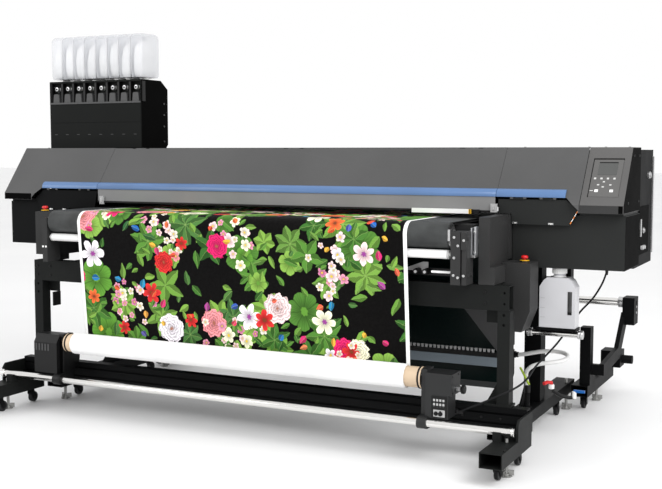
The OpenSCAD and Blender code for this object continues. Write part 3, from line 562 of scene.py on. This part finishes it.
# Middle lines (y, z) of the long round parts, and the middle (x, y) of the waste tank
BELT_ROLLER, GUIDE_ROLLER, ROLL, RAIL = (-450, 914), (-470, 840), (-505, 343), (-560, 175)
REST_BAR, FEED_SHAFT, TANK = (-55, 486), (1150, 470), (1325, -75)


# ---------- cable and hose

# The points of the CAD's own routes
CABLE_ROUTE = [
    (1490, 60, 758), (1489, 60, 742), (1470, 64, 690), (1430, 76, 625), (1376, 80, 563),
    (1340, 40, 500), (1310, -30, 442), (1286, -115, 402), (1266, -200, 369), (1268, -270, 355),
    (1270, -330, 344), (1262, -392, 330), (1234, -436, 311), (1181, -450, 284),
    (1127, -460, 256), (1075, -465, 232), (1048, -465, 218), (1026, -465, 210)]
HOSE_ROUTE = [
    (1085, 110, 350), (1105, 110.4, 350.6), (1135, 113, 356), (1168, 117, 364), (1204, 121, 371),
    (1240, 121, 375), (1274, 116, 376), (1304, 102, 375), (1326, 78, 371), (1333, 48, 366),
    (1324, 18, 360), (1301, -5, 355), (1268, -18, 350), (1232, -22, 343), (1200, -20, 330),
    (1176, -9, 310), (1164, 10, 288), (1160, 29, 266), (1160, 41, 242), (1160, 42, 216)]


def make_cord(name, route, radius, slot, node, material):
    line = smooth_line(route)
    mould = Mould()
    mould.tube(line, radius, sides=16)
    piece = mould.cast(name, "machine", slot, material, bevel=0, smooth=80, replaces=(node,))


def make_cords():
    make_cord("takeup_lead", CABLE_ROUTE, 4, "cable", "takeup_cable", "rubber")
    make_cord("wash_hose", HOSE_ROUTE, 9, "white_plastic", "drain_hose", "white")
    glands = Mould()
    glands.lathe([(9, 12), (9, 4), (7.5, 3), (7, -8), (6, -20), (4.6, -28)], CABLE_ROUTE[0], "z")
    glands.lathe([(11, -11.6), (11, -4), (8, -3), (7, 8), (5.6, 16), (4.8, 22)], CABLE_ROUTE[-1], "x")
    glands.cast("lead_glands", "machine", "rubber", "black", bevel=0.3)
    fittings = Mould()
    nut = [(12.3, -9), (15, -8), (15, 2), (12, 3), (12, 14), (10, 15)]
    fittings.lathe(nut, HOSE_ROUTE[0], "x", lobes=6, lobe=0.6)
    cuff = [(10, 17), (13, 15), (13.6, 2), (13.6, -14), (12.3, -16)]
    fittings.lathe(cuff, HOSE_ROUTE[-1], "z", lobes=6, lobe=0.6)
    fittings.cast("hose_fittings", "machine", "dark_plastic", "black")


def make_fabric():
    """The printed cloth: a grid whose rows follow its path along the belt, round the roller and down."""
    low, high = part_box("printed_fabric")
    white_edge, columns, fine_step, belt_step, turn_steps = 0.017, 240, 0.006, 0.03, 24
    bend, roll_radius = 0.054, 0.050
    roller, roll = at(0, *BELT_ROLLER), at(0, *ROLL)
    path = []
    y = high.y
    while y > roller.y:
        path.append((y, roller.z + bend))
        y -= belt_step
    for i in range(turn_steps + 1):
        a = radians(90 + 90 * i / turn_steps)
        path.append((roller.y + bend * cos(a), roller.z + bend * sin(a)))
    start, end = path[-1], (roll.y + roll_radius, roll.z)
    rows = int(dist(start, end) / fine_step)
    for i in range(1, rows + 1):
        t = i / rows
        path.append((start[0] + (end[0] - start[0]) * t, start[1] + (end[1] - start[1]) * t))
    lengths = [0.0]
    for a, b in zip(path, path[1:]):
        lengths.append(lengths[-1] + dist(a, b))
    width = high.x - low.x
    verts = [(low.x + width * c / columns, y, z) for y, z in path for c in range(columns + 1)]
    across = columns + 1
    faces = [(r * across + c, (r + 1) * across + c, (r + 1) * across + c + 1, r * across + c + 1)
             for r in range(len(path) - 1) for c in range(columns)]
    mesh = bpy.data.meshes.new("printed_cloth")
    mesh.from_pydata(verts, [], faces)
    mesh.polygons.foreach_set("use_smooth", [True] * len(faces))
    layer = mesh.uv_layers.new(name="cloth")
    for loop in mesh.loops:
        row, column = divmod(loop.vertex_index, across)
        layer.data[loop.index].uv = (width * column / columns, lengths[row])
    cloth = link("printed_cloth", mesh, "machine", floral_print(width, white_edge), MATERIALS["cloth"])
    thick = cloth.modifiers.new("thickness", "SOLIDIFY")
    thick.thickness = 0.0007
    thick.offset = 0
    thick.material_offset = 1
    thick.material_offset_rim = 1
    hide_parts("printed_fabric")


# ---------- casing details

def make_casing_details():
    # The blue strip's outline: a shallow arc across the slope
    strip = []
    arc_radius, arc_sunk, arc_half, arc_steps, strip_z = 30, -21.4, 44.4, 16, 1076
    for i in range(arc_steps + 1):
        a = radians(-arc_half + 2 * arc_half * i / arc_steps)
        along, out = arc_radius * sin(a), arc_sunk + arc_radius * cos(a)
        y, z = slope_point(0, strip_z, out)[1:]
        strip.append((y + along * SLOPE_Y, z + along * SLOPE_Z))
    for name, x0, x1 in (("accent_strip_left", -1364, -1012.5), ("accent_strip_right", 1071.5, 1363)):
        Mould().prism(strip, "x", x0, x1).cast(name, "machine", "accent_blue", "blue", bevel=0.6)

    # Control panel: a plate with black strips along its left and top edges as painted shadow of its recess,
    # a screen under a dark lip, and keys
    panel = Mould()
    panel.on_slope((1452.5, 1571), (1068, 1215.5), (-4, -2.2), 0)
    # Black strips on the recess's left and top sides: painted shadow
    panel.on_slope((1449.5, 1452), (1066, 1219), (-4, -1.2), 1)
    panel.on_slope((1449.5, 1573), (1216, 1219), (-4, -1.2), 1)
    panel.on_slope((1475, 1551), (1154, 1201), (-2.6, -1.2), 2)
    panel.on_slope((1475, 1551), (1201.5, 1205), (-2.6, -0.8), 1)
    for i in range(4):
        panel.on_slope((1463 + 26 * i, 1472 + 26 * i), (1136, 1143), (-2.6, -1.2), 3)
    for x, z in ((1501, 1124), (1500, 1104), (1480, 1112), (1529, 1112)):
        panel.on_slope((x, x + 9), (z, z + 5), (-2.6, -1.2), 3)
    panel.on_slope((1455, 1468), (1090, 1093), (-2.6, -1.6), 3)
    for x in (1474, 1534):
        panel.on_slope((x, x + 14), (1086, 1096), (-2.6, -1.0), 4)
    panel.cast("panel_keys", "machine", "cover_grey", "plate", "black", "screen", "pale", "white",
               bevel=0.4)

    # Near-black side plates of the hood, of the casings under it and of the ink cabinet, and the hood's
    # lips. The side plates' near-black is partly the sides' own black and partly painted shade on faces
    # turned away from the light.
    hood_side = [(-1.5, 1263), (-173.5, 1032), (-173.5, 1001.5), (162.5, 1001.5), (162.5, 1263)]
    box_side = [(-124.5, 770), (-124.5, 986), (162.5, 986), (162.5, 770)]
    cabinet_side = [(101.5, 1267), (101.5, 1618), (275, 1618), (335.5, 1575), (335.5, 1286), (319, 1267)]
    plates = Mould()
    for sign in (-1, 1):
        for outline in (hood_side, box_side):
            plates.prism(outline, "x", 1599.8 * sign, 1600.6 * sign, 0)
    plates.prism(cabinet_side, "x", -918.2, -917.4, 0)
    plates.block((-1598, -176, 1001), (-1421, -174.8, 1031.5), 0)
    plates.block((1427, -176, 1001), (1580, -174.8, 1031.5), 1)
    plates.block((1580.5, -176, 1001), (1598, -174.8, 1031.5), 0)
    plates.cast("side_plates", "machine", "dark_steel", "end", "lip", bevel=0)

    # Screws along the seams of the hood's flat top and in its sides
    top = Mould()
    for x in (-1560, -1300, -1060, 1110, 1390, 1460, 1560):
        screw(top, (x, 130, 1265), "z", 1, 5)
    top.cast("hood_screws", "machine", "steel", "steel", bevel=0)
    sides = Mould()
    for sign in (-1, 1):
        for y, z in ((-90, 1040), (130, 1040), (130, 1230), (20, 1230)):
            screw(sides, (1600.5 * sign, y, z), "x", sign * 0.5, 5)
    sides.cast("side_screws", "machine", "steel", "plastic", bevel=0)

    # Grips and catches of the front cover, and the bar along the window's foot
    front = Mould()
    front.block((-1006, -157, 993), (1066, -146, 1001.5), 0)
    front.block((698, -169, 986), (956, -158, 1005), 1)
    for i in range(4):
        front.block((956 + 4 * i, -169.4, 985.6), (960 + 4 * i, -157.6, 1005.4), 2 + i % 2)
    front.block((972, -166, 988), (1002, -157, 1004), 3)
    right_catch = (1050, -163, 994), (1077.5, -153, 1030)
    left_catch = (-990, -163, 985), (-966, -153, 1025)
    for low, high in (right_catch, left_catch):
        front.block(low, high, 4)
        middle = (low[0] + high[0]) / 2
        front.block((middle - 4, -165.5, low[2] + 8), (middle + 4, -162.5, high[2] - 8), 5)
    front.cast("front_cover_trim", "front_cover", "dark_plastic",
               "black", "white", "yellow", "black", "light", "steel")
    tape = Mould()
    for k in range(5):
        x0, z0 = 1381 + 6 * k, 954 + 10.6 * k
        stripe = [(x0, z0), (x0 + 3, z0 - 1.4), (x0 + 9, z0 + 9.2), (x0 + 6, z0 + 10.6)]
        tape.prism(stripe, "y", -148.2, -146.6, k % 2)
    tape.cast("cover_edge_tape", "right_maintenance_cover", "white_plastic", "orange", "white", bevel=0)
    for side, places in (("right", (1152, 1304)), ("left", (-1310, -1225))):
        catches = Mould()
        for x in places:
            catches.block((x - 11, -153, 948.5), (x + 11, -146.5, 956), 0)
            knob = [(4, -153), (4, -155), (3, -155.6), (0, -155.6)]
            catches.lathe(knob, (x, 0, 952), "y", 1, sides=14)
        catches.cast(side + "_cover_catches", side + "_maintenance_cover", "steel", "steel", "chrome")

    # Connectors on the rear casing's right side
    back = Mould()
    back.block((1579, 250, 800), (1583, 470, 1010), 0)
    back.block((1582, 262, 880), (1588, 286, 955), 1)
    back.lathe([(13, 0), (13, 9), (9, 10), (9, 13), (0, 13)], (1582, 318, 905), "x", 1)
    back.lathe([(16, 0), (16, 10), (12, 12), (12, 15), (0, 15)], (1579, 444, 1143), "x", 1)
    back.lathe([(9, 0), (9, 12), (5, 14), (0, 14)], (1582, 300, 830), "x", 2)
    back.lathe([(9, 0), (9, 12), (5, 14), (0, 14)], (1582, 340, 830), "x", 2)
    back.block((1580, 540, 790), (1587, 560, 1225), 1)
    back.cast("rear_connectors", "machine", "dark_plastic", "end", "steel", "light")


def make_estops():
    # The button's underside stays clear of its collar when it is pressed 5 mm
    dome = [(6, -20), (6, 8), (10, 9.2), (14.2, 10.4), (15, 13), (14.6, 17), (12.6, 20), (8, 21.6), (0, 22)]
    collar = [(7.5, -0.6), (19, -0.6), (19.5, 0.6), (19, 2.2), (15, 2.8), (11, 3.0), (7.5, 2.6)]
    for side, place in (("left", (-1155, -375, 960)), ("right", (1208, -190, 801))):
        stop = "estop_" + side
        Mould().lathe(dome, place, "z", sides=36).cast(
            "stop_button_" + side, stop, "red_plastic", "red", bevel=0, replaces=(stop,))
        Mould().lathe(collar, place, "z", sides=36, loop=True).cast(
            "stop_collar_" + side, "machine", "red_plastic", "yellow", bevel=0)


# ---------- ink

# Eight packs: the first one's middle, the distance between them, their middle line and the cabinet's top
INK_COUNT, INK_FIRST, INK_PITCH, INK_Y, INK_TOP = 8, -1478, 74.6, 190, 1620
LOCK_Z = 1581


def make_ink_details():
    cabinet = Mould()
    cabinet.block((-1517, 98.2, 1268), (-921, 100.5, 1398), 0)
    cabinet.block((-1517, 98.2, 1401), (-921, 100.5, 1496), 0)
    cabinet.block((-1517, 96, 1499), (-921, 131, 1508), 2)
    cabinet.block((-1536, 120, 1266), (-1519, 260, 1292), 1)
    lever = [(-21, 1507), (21, 1507), (17, 1550), (11, 1554), (-11, 1554), (-17, 1550)]
    knob = [(15, 131), (15, 121), (13, 119), (12.5, 112), (11, 108), (9, 107), (0, 107)]
    for i in range(INK_COUNT):
        x = INK_FIRST + INK_PITCH * i
        cabinet.block((x - 10, 97.6, 1336), (x + 8, 98.4, 1339), 2)
        cabinet.prism([(x + u, z) for u, z in lever], "y", 103, 131, 2)
        cabinet.lathe(knob, (x, 0, LOCK_Z), "y", 3)
        cabinet.lathe([(5, 108), (5, 105.4), (4, 105), (0, 105)], (x, 0, LOCK_Z), "y", 1)
    for i in range(INK_COUNT + 1):
        x = INK_FIRST + INK_PITCH * (i - 0.5)
        cabinet.block((x - 6, 106, 1507), (x + 6, 131, 1611), 1)
    for z in (1300, 1380, 1440, 1500):
        screw(cabinet, (-918, 300, z), "x", 1, 5, 2)
    cabinet.cast("ink_locks", "machine", "dark_plastic", "cabinet", "black", "grey", "steel")

    # Sections of the clear cases and of the bags in them: height, half depth, half width
    case_sections = ((1632, 73, 33.5), (1650, 78.5, 36.4), (1720, 79, 36.6),
                     (1834, 78.5, 36.4), (1848, 73, 35), (1856.6, 60, 29))
    bag_sections = ((1634, 44, 14), (1642, 62, 24), (1670, 68, 28.5), (1730, 69, 30),
                    (1786, 60, 28), (1812, 42, 21), (1826, 18, 10))
    spout = [(10, -38), (10, 0.4), (20, 0.6), (20, 11), (16, 13), (8, 15)]
    cases, bags = Mould(), Mould()
    for i in range(INK_COUNT):
        x = INK_FIRST + INK_PITCH * i
        cases.skin([oval_box(x, INK_Y, z, half, depth, 9) for z, depth, half in case_sections], 0)
        rings = []
        for z, depth, half in bag_sections:
            lean = 3.5 * sin(i * 2.1 + z / 55)
            rings.append(oval_box(x + lean, INK_Y, z + 5 * sin(i * 1.7), half, depth, 12))
        bags.skin(rings, 0)
        bags.lathe(spout, (x, INK_Y, INK_TOP), "z", 1, sides=24)
    cases.cast("ink_pack_cases", "machine", "white_plastic", "case", bevel=0, smooth=50,
               replaces=("ink_packs",))
    bags.cast("ink_bags", "machine", "white_plastic", "bag", "white", bevel=0, smooth=60)


def oval_box(x, y, z, half_x, half_y, corner):
    """A ring of points round a rectangle with round corners."""
    corner = min(corner, half_x * 0.9, half_y * 0.9)
    ring = []
    for quarter, (sx, sy) in enumerate(((1, 1), (-1, 1), (-1, -1), (1, -1))):
        for k in range(6):
            a = radians(90 * quarter + 18 * k)
            u, v = sx * (half_x - corner) + corner * cos(a), sy * (half_y - corner) + corner * sin(a)
            ring.append((x + u, y + v, z))
    return ring


# ---------- belt, washing unit and tank

def make_belt_details():
    plate = Mould()
    for x, z in ((1012, 911), (1028, 878), (1010, 760), (1028, 752),
                 (1052, 900), (1052, 760), (1012, 830)):
        screw(plate, (x, -495, z), "y", -1, 5.5, 0)
    for x in (-1067, -1049):
        screw(plate, (x, -495, 795), "y", -1, 5, 1)
    plate.block((986, -499, 896), (996, -472, 941), 0)
    plate.block((1061, -440, 836), (1066, -404, 946), 2)
    plate.block((1072, -430, 838), (1080, -401, 950), 2)
    for z in (850, 930):
        plate.lathe([(6, -431), (6, -434), (4, -435), (0, -435)], (1076, 0, z), "y", 0, sides=16)
    plate.block((1061, -440, 828), (1080, -402, 838), 0)
    plate.cast("belt_bearing_screws", "machine", "steel", "steel", "white", "aluminium", bevel=0.4)

    under = Mould()
    under.prism([(742, 762), (845, 799), (868, 799), (868, 764)], "y", -404, -401, 0)
    for x in (828, 868):
        grip = [(13, -404), (13, -440), (11, -444), (0, -444)]
        under.lathe(grip, (x, 0, 762), "y", 1, lobes=8, lobe=0.7)
        under.lathe([(6, -443.6), (6, -446), (0, -446)], (x, 0, 762), "y", 2, sides=16)
    under.lathe([(5, 900), (5, 998)], (0, -448, 766), "x", 3, sides=16)
    under.block((700, -401.5, 745), (996, -399.5, 775), 1)
    under.cast("belt_tension_parts", "machine", "steel", "light", "black", "light", "white")

    guide = Mould()
    for x in (-1029.5, 977):
        guide.lathe([(18.4, 0), (18.8, 1), (18.8, 6), (18.4, 7)], (x, *GUIDE_ROLLER), "x", 0)
    guide.cast("guide_roller_caps", "guide_roller", "dark_plastic", "light", bevel=0.2)

    beam = Mould()
    for x in (-1190, -1110, 1110):
        for z in (645, 689):
            screw(beam, (x, -400, z), "y", -1, 6, 0)
    beam.block((-1218, -262, 470), (-1209.2, -210, 540), 0)
    for z in (488, 520):
        beam.lathe([(9, 0), (9, -12), (7, -14), (0, -14)], (-1217, -236, z), "x", 0)
    beam.cast("belt_stand_screws", "machine", "dark_plastic", "black")


def make_wash_details():
    wash = Mould()
    wash.prism([(895, 600), (1074, 600), (1074, 396), (1068, 396)], "y", -103.6, -100.2, 0)
    wash.block((-999, -115, 331), (1074, -111.8, 371), 1)
    wash.block((-999, -114, 372), (1074, -104, 392), 2)
    wash.cast("washer_trim", "machine", "dark_plastic", "grey", "bar", "black")
    tufts = Mould()
    x = -985
    while x < 1058:
        tufts.prism([(x, 391), (x + 9, 391), (x + 11, 406), (x - 2, 406)], "y", -112, -105, 0)
        x += 19
    tufts.cast("washer_bristles", "machine", "white_plastic", "light", bevel=0.3)


def make_tank_details():
    tank = Mould()
    cap = [(29.4, -22), (29.8, -20), (29.8, -2), (28.6, 0), (22, 0.6), (0, 0.6)]
    tank.lathe(cap, (*TANK, 765), "z", 0, sides=72, lobes=24, lobe=0.7)
    tank.lathe([(24.4, 727.5), (27, 728.5), (27, 733), (24.4, 734)], (*TANK, 0), "z", 0)
    for z in (560, 600, 640):
        tank.block((1256, -111, z), (1274, -109.5, z + 1.5), 1)
    tank.cast("tank_cap", "machine", "white_plastic", "white", "light", bevel=0.2)
    # A dark lining through the tank's handle hole: painted shade inside the hole
    grip = Mould()
    hole = ((1369.4, 575.4), (1386.6, 575.4), (1386.6, 670.6), (1369.4, 670.6))
    depths = (-111.4, -108, -42, -38.6)
    grip.skin([[(x, depth, z) for x, z in hole] for depth in depths], 0, closed=False)
    grip.cast("tank_grip_painted_shade", "machine", "dark_plastic", "plastic", bevel=0)
    bar = Mould()
    bar.lathe([(12.8, 1205), (12.8, 1403)], (0, *REST_BAR), "x", 0)
    nut = [(17.6, 18.6), (18.4, 17), (18.4, 9), (16.6, 8), (18, 6), (18, -2), (14, -3)]
    for x, sign in ((1204, -1), (1404, 1)):
        bar.lathe(mirrored(nut, sign), (x, *REST_BAR), "x", 1, sides=24)
    bar.cast("tank_rest_bar", "machine", "steel", "chrome", "steel", bevel=0.3)

    # Drain fittings on the foot, and the marked end of the hose
    drain = Mould()
    drain.tube([(1139, 2, 316), (1150, 0, 300), (1168, -2, 268), (1182, -2, 244)], 5, 0, 10)
    drain.tube([(1262, 60, 236), (1262, 60, 250), (1250, 40, 254), (1240, 20, 250)], 8, 1, 12)
    drain.lathe([(11, -10), (13, -8), (13, 8), (11, 10)], (1262, 60, 232), "z", 2, lobes=6, lobe=0.8)
    drain.block((1350, 96, 207), (1398, 108, 218), 3)
    drain.lathe([(10, -16), (10, 14), (6, 16)], (1352, 102, 196), "z", 2)
    drain.tube([(1268, 60, 214), (1300, 80, 190), (1330, 96, 182), (1352, 102, 184)], 8, 4, 12)
    drain.cast("drain_fittings", "machine", "white_plastic", "lime", "red", "white", "handle", "black",
               bevel=0.3)


# ---------- take-up

def make_takeup_details():
    chucks = Mould()
    chuck = [(44.6, -0.6), (45.6, 1), (45.6, 6), (43, 8), (43, 12), (44, 14),
             (30, 14.6), (16, 14.8), (15, 17)]
    for x, sign in ((878, 1), (-902, -1)):
        chucks.lathe(mirrored(chuck, sign), (x, *ROLL), "x", 0, sides=40)
        for k in range(3):
            a = 2 * pi * k / 3 + 0.5
            place = (x + 14.4 * sign, ROLL[0] + 32 * cos(a), ROLL[1] + 32 * sin(a))
            screw(chucks, place, "x", sign * 0.4, 4, 1)
    chucks.cast("core_chucks", "takeup_spindle", "dark_plastic", "black", "steel", bevel=0.3)
    edge = Mould()
    for x, sign in ((-870.2, -1), (820.2, 1)):
        for k in range(4):
            outer, inner = 48.8 - 1.6 * k, 47.8 - 1.6 * k
            ridge = [(outer, 0), (outer, 0.7), (inner, 0.7), (inner, 0)]
            edge.lathe(mirrored(ridge, sign), (x, *ROLL), "x", 0, sides=48, loop=True)
    edge.cast("roll_windings", "takeup_spindle", "cloth_white", "cloth", bevel=0)

    unit = Mould()
    unit.block((946, -558.4, 199), (1010, -555.8, 286), 0)
    unit.block((955, -559.6, 203), (1003, -558, 231), 1)
    for row in range(2):
        for i in range(4):
            unit.block((954 + 13 * i, -559.8, 248 + 17 * row), (962 + 13 * i, -558, 257 + 17 * row), 1)
            unit.block((955 + 13 * i, -559.6, 242 + 17 * row), (961 + 13 * i, -558, 244 + 17 * row), 2)
    toggle = [(9, -559.4), (9, -562), (6, -563), (5, -571), (3, -572), (0, -572)]
    unit.lathe(toggle, (966, 0, 216), "y", 3, sides=20)
    unit.lathe([(11, 0), (11, 16), (9, 18), (9, 21)], (1030.5, -500, 310), "x", 4, sides=24)
    knob = [(17, 0), (17.6, 2), (17.6, 11), (15, 13.8), (6, 14.2), (0, 14.2)]
    unit.lathe(knob, (1052, -500, 310), "x", 3, lobes=10, lobe=0.7, sides=60)
    for y in (-545, -480):
        for z in (300, 365):
            screw(unit, (1030, y, z), "x", 0.5, 4, 0)
    unit.cast("takeup_controls", "machine", "dark_plastic", "black", "light", "grey", "black", "steel",
              bevel=0.4)
    left = Mould()
    x = -919
    flange = [(-538, 376), (-532, 386), (-474, 386), (-467, 376), (-467, 160), (-538, 160)]
    left.prism(flange, "x", x - 22, x - 3, 0)
    for i in range(5):
        left.block((x - 150 + 18 * i, -561.5, 305), (x - 142 + 18 * i, -559.8, 338), 1)
    for i in range(6):
        fin = [(38.6, 0), (39.4, 2), (39.4, 5), (38.6, 7)]
        left.lathe(fin, (x - 200 + 22 * i, -447, 268), "x", 0, sides=36)
    rim = [(52.8, -14.6), (53.6, -12), (53.6, -3), (52.8, 0)]
    left.lathe(rim, (x - 10.6, -462, 262), "x", 0, sides=48)
    left.cast("takeup_motor_fins", "takeup_unit_left", "dark_plastic", "black", "grey", bevel=0.5)

    rail = Mould()
    collar = [(16.2, 1262), (18.5, 1263), (18.5, 1278), (17, 1280), (16.6, 1285), (14, 1287.4), (0, 1287.4)]
    for sign in (-1, 1):
        rail.lathe(mirrored(collar, sign), (0, *RAIL), "x", 0, sides=32)
    rail.cast("rail_end_caps", "machine", "steel", "chrome", bevel=0.2)


def make_stand_details():
    disc = [(25.4, 5), (25.6, 6.5), (24.6, 9.2), (18, 9.6), (17, 8.6), (8, 8.6), (7, 9.8), (4.2, 9.9)]
    for name in sorted(nodes):
        if not name.startswith(("caster_wheel", "feed_wheel")):
            continue
        low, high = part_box(name)
        centre = (low + high) / 2
        place = (centre.x * 1000, (centre.y - EDGE_Y) * 1000, centre.z * 1000)
        wheel = Mould()
        for sign in (-1, 1):
            wheel.lathe(mirrored(disc, sign), place, "x", 0, sides=36)
        wheel.lathe([(25.2, -5), (25.9, -3), (25.9, 3), (25.2, 5)], place, "x", 1, sides=36)
        wheel.cast(name.replace("wheel", "tread"), name, "rubber", "plastic", "rubber", bevel=0)
    beam = Mould()
    for x in (-1180, -1100, -1020, 1020, 1100, 1180):
        screw(beam, (x, -400, 182), "y", -1, 5, 0)
    for sign in (-1, 1):
        for y in (-690, -650):
            screw(beam, (1285 * sign, y, 135), "z", 1, 4, 0)
        for z in (420, 450):
            screw(beam, (1410 * sign, 1150, z), "x", sign, 6, 1)
    beam.cast("stand_screws", "machine", "steel", "black", "steel", bevel=0)
    feed = Mould()
    collar = [(26, 1346), (28, 1340), (28, 1322), (21, 1318)]
    for sign in (-1, 1):
        feed.lathe(mirrored(collar, sign), (0, *FEED_SHAFT), "x", 0, sides=32)
    feed.cast("feed_shaft_collars", "feed_shaft", "steel", "steel", bevel=0.3)


make_camera()
make_studio()

# Colour, roughness and gloss of the painted sheets
PAINTS = {
    "cover": ((0.070, 0.070, 0.0705), 0.40, 0.35),
    # The control panel's paint is the cover paint made lighter: painted sheen on the sloped hood end
    "panel": ((0.085, 0.083, 0.082), 0.42, 0.35),
    "plate": ((0.098, 0.096, 0.094), 0.40, 0.35),
    "lip": ((0.034, 0.034, 0.034), 0.45, 0.12),
    "casing": ((0.019, 0.020, 0.0195), 0.48, 0.10),
    "cabinet": ((0.0085, 0.0092, 0.0088), 0.50, 0.06),
    # Near-black and dull: the side plates' and rear connectors' own black, made darker still as painted
    # shade on sides turned away from the light
    "end": ((0.0018, 0.0018, 0.0018), 0.70, 0.02),
    "rear": ((0.0040, 0.0042, 0.0045), 0.55, 0.04),
    "beam": ((0.010, 0.0108, 0.0104), 0.50, 0.08),
    "box": ((0.030, 0.030, 0.030), 0.48, 0.14),
    "stand": ((0.0040, 0.0042, 0.0045), 0.50, 0.06),
}

MATERIALS = {name: painted(name + "_paint", *look) for name, look in PAINTS.items()}
MATERIALS.update({
    "plastic": moulded("dark_plastic", (0.016, 0.0165, 0.017), 0.45),
    "black": moulded("black_plastic", (0.004, 0.004, 0.0042), 0.4, 0.25),
    "grey": moulded("grey_plastic", (0.055, 0.055, 0.056), 0.45),
    "light": moulded("light_grey_plastic", (0.40, 0.40, 0.40), 0.45),
    "belt": rubber("belt_cover", (0.036, 0.038, 0.038), 0.5),
    "rubber": rubber("black_rubber", (0.010, 0.010, 0.011)),
    "chrome": metal("chrome", (0.80, 0.79, 0.77), 0.14),
    "steel": metal("brushed_steel", (0.58, 0.58, 0.58), 0.30),
    "dull": metal("zinc_plate", (0.34, 0.34, 0.33), 0.42),
    "aluminium": metal("aluminium", (0.62, 0.63, 0.65), 0.38),
    "white": moulded("white_plastic", (0.82, 0.82, 0.81), 0.38),
    "tank": moulded("tank_plastic", (0.56, 0.56, 0.58), 0.35, 0.4),
    "case": moulded("pack_case", (0.66, 0.67, 0.70), 0.22, 0.4, alpha=0.42),
    "bag": moulded("ink_bag", (0.86, 0.86, 0.86), 0.45),
    "pale": moulded("pale_print", (0.52, 0.52, 0.51), 0.45),
    "blue": moulded("accent_blue", (0.085, 0.165, 0.335), 0.34, 0.4, coat=0.15),
    "bar": painted("washer_bar", (0.17, 0.205, 0.235), 0.4, 0.3),
    "smoked": moulded("smoked_window", (0.20, 0.20, 0.20), 0.16, 0.5),
    "screen": moulded("screen", (0.062, 0.064, 0.062), 0.15, 0.5, coat=0.3),
    "card": moulded("core_card", (0.62, 0.48, 0.34), 0.75, 0.1),
    "cloth": moulded("cloth_back", (0.90, 0.90, 0.90), 0.85, 0.1),
    "red": moulded("red_button", (0.62, 0.012, 0.014), 0.3, 0.5),
    "yellow": moulded("yellow_plastic", (0.75, 0.42, 0.01), 0.4),
    "orange": moulded("orange_tape", (0.70, 0.22, 0.05), 0.5),
    "lime": moulded("lime_tape", (0.30, 0.42, 0.02), 0.5),
    "handle": moulded("blue_handle", (0.01, 0.12, 0.42), 0.4),
    "green": moulded("green_panel", (0.0012, 0.0056, 0.0052), 0.3, 0.12),
})

# The CAD nodes of each material; wheels, treads and cables are rubber
CAD_NODES = {
    # The left lower casing and left maintenance cover take the near-black stand paint, much darker than the
    # right ones' casing paint: partly their own dark colour, partly painted shade on the machine's left end
    "stand": "main_stand takeup_beam feed_stand left_lower_casing left_maintenance_cover",
    "beam": "belt_stand takeup_stand",
    "chrome": "takeup_rail feed_shaft",
    "dull": "levelling_feet",
    "rear": "rear_casing",
    "cover": "left_end_cover right_end_cover front_cover",
    "panel": "control_panel",
    "casing": "right_lower_casing right_maintenance_cover",
    "aluminium": "carriage_beam",
    "cabinet": "ink_cabinet",
    "tank": "ink_packs waste_tank",
    "box": "belt_frame power_box",
    "belt": "conveyor_belt",
    "green": "wash_unit",
    "white": "drain_hose guide_roller",
    "plastic": "takeup_unit_right capping_station print_carriage",
    "cloth": "printed_fabric takeup_roll",
    "smoked": "front_window",
    "blue": "front_accent_strip",
    "steel": "drive_roller rear_roller",
    "card": "takeup_core",
    "black": "takeup_unit_left",
    "red": "estop_left estop_right",
}


CAD_EDGE = 1.2


def finish_cad_nodes():
    kinds = {name: kind for kind, names in CAD_NODES.items() for name in names.split()}
    for name, thing in nodes.items():
        kind = kinds.get(name) or ("stand" if "fork" in name else "rubber")
        thing.data.materials.clear()
        thing.data.materials.append(MATERIALS[kind])
        weld = thing.modifiers.new("weld", "WELD")
        weld.merge_threshold = 0.00001
        soften(thing, CAD_EDGE)


make_cords()
finish_cad_nodes()
make_fabric()
make_casing_details()
make_estops()
make_ink_details()
make_belt_details()
make_wash_details()
make_tank_details()
make_takeup_details()
make_stand_details()
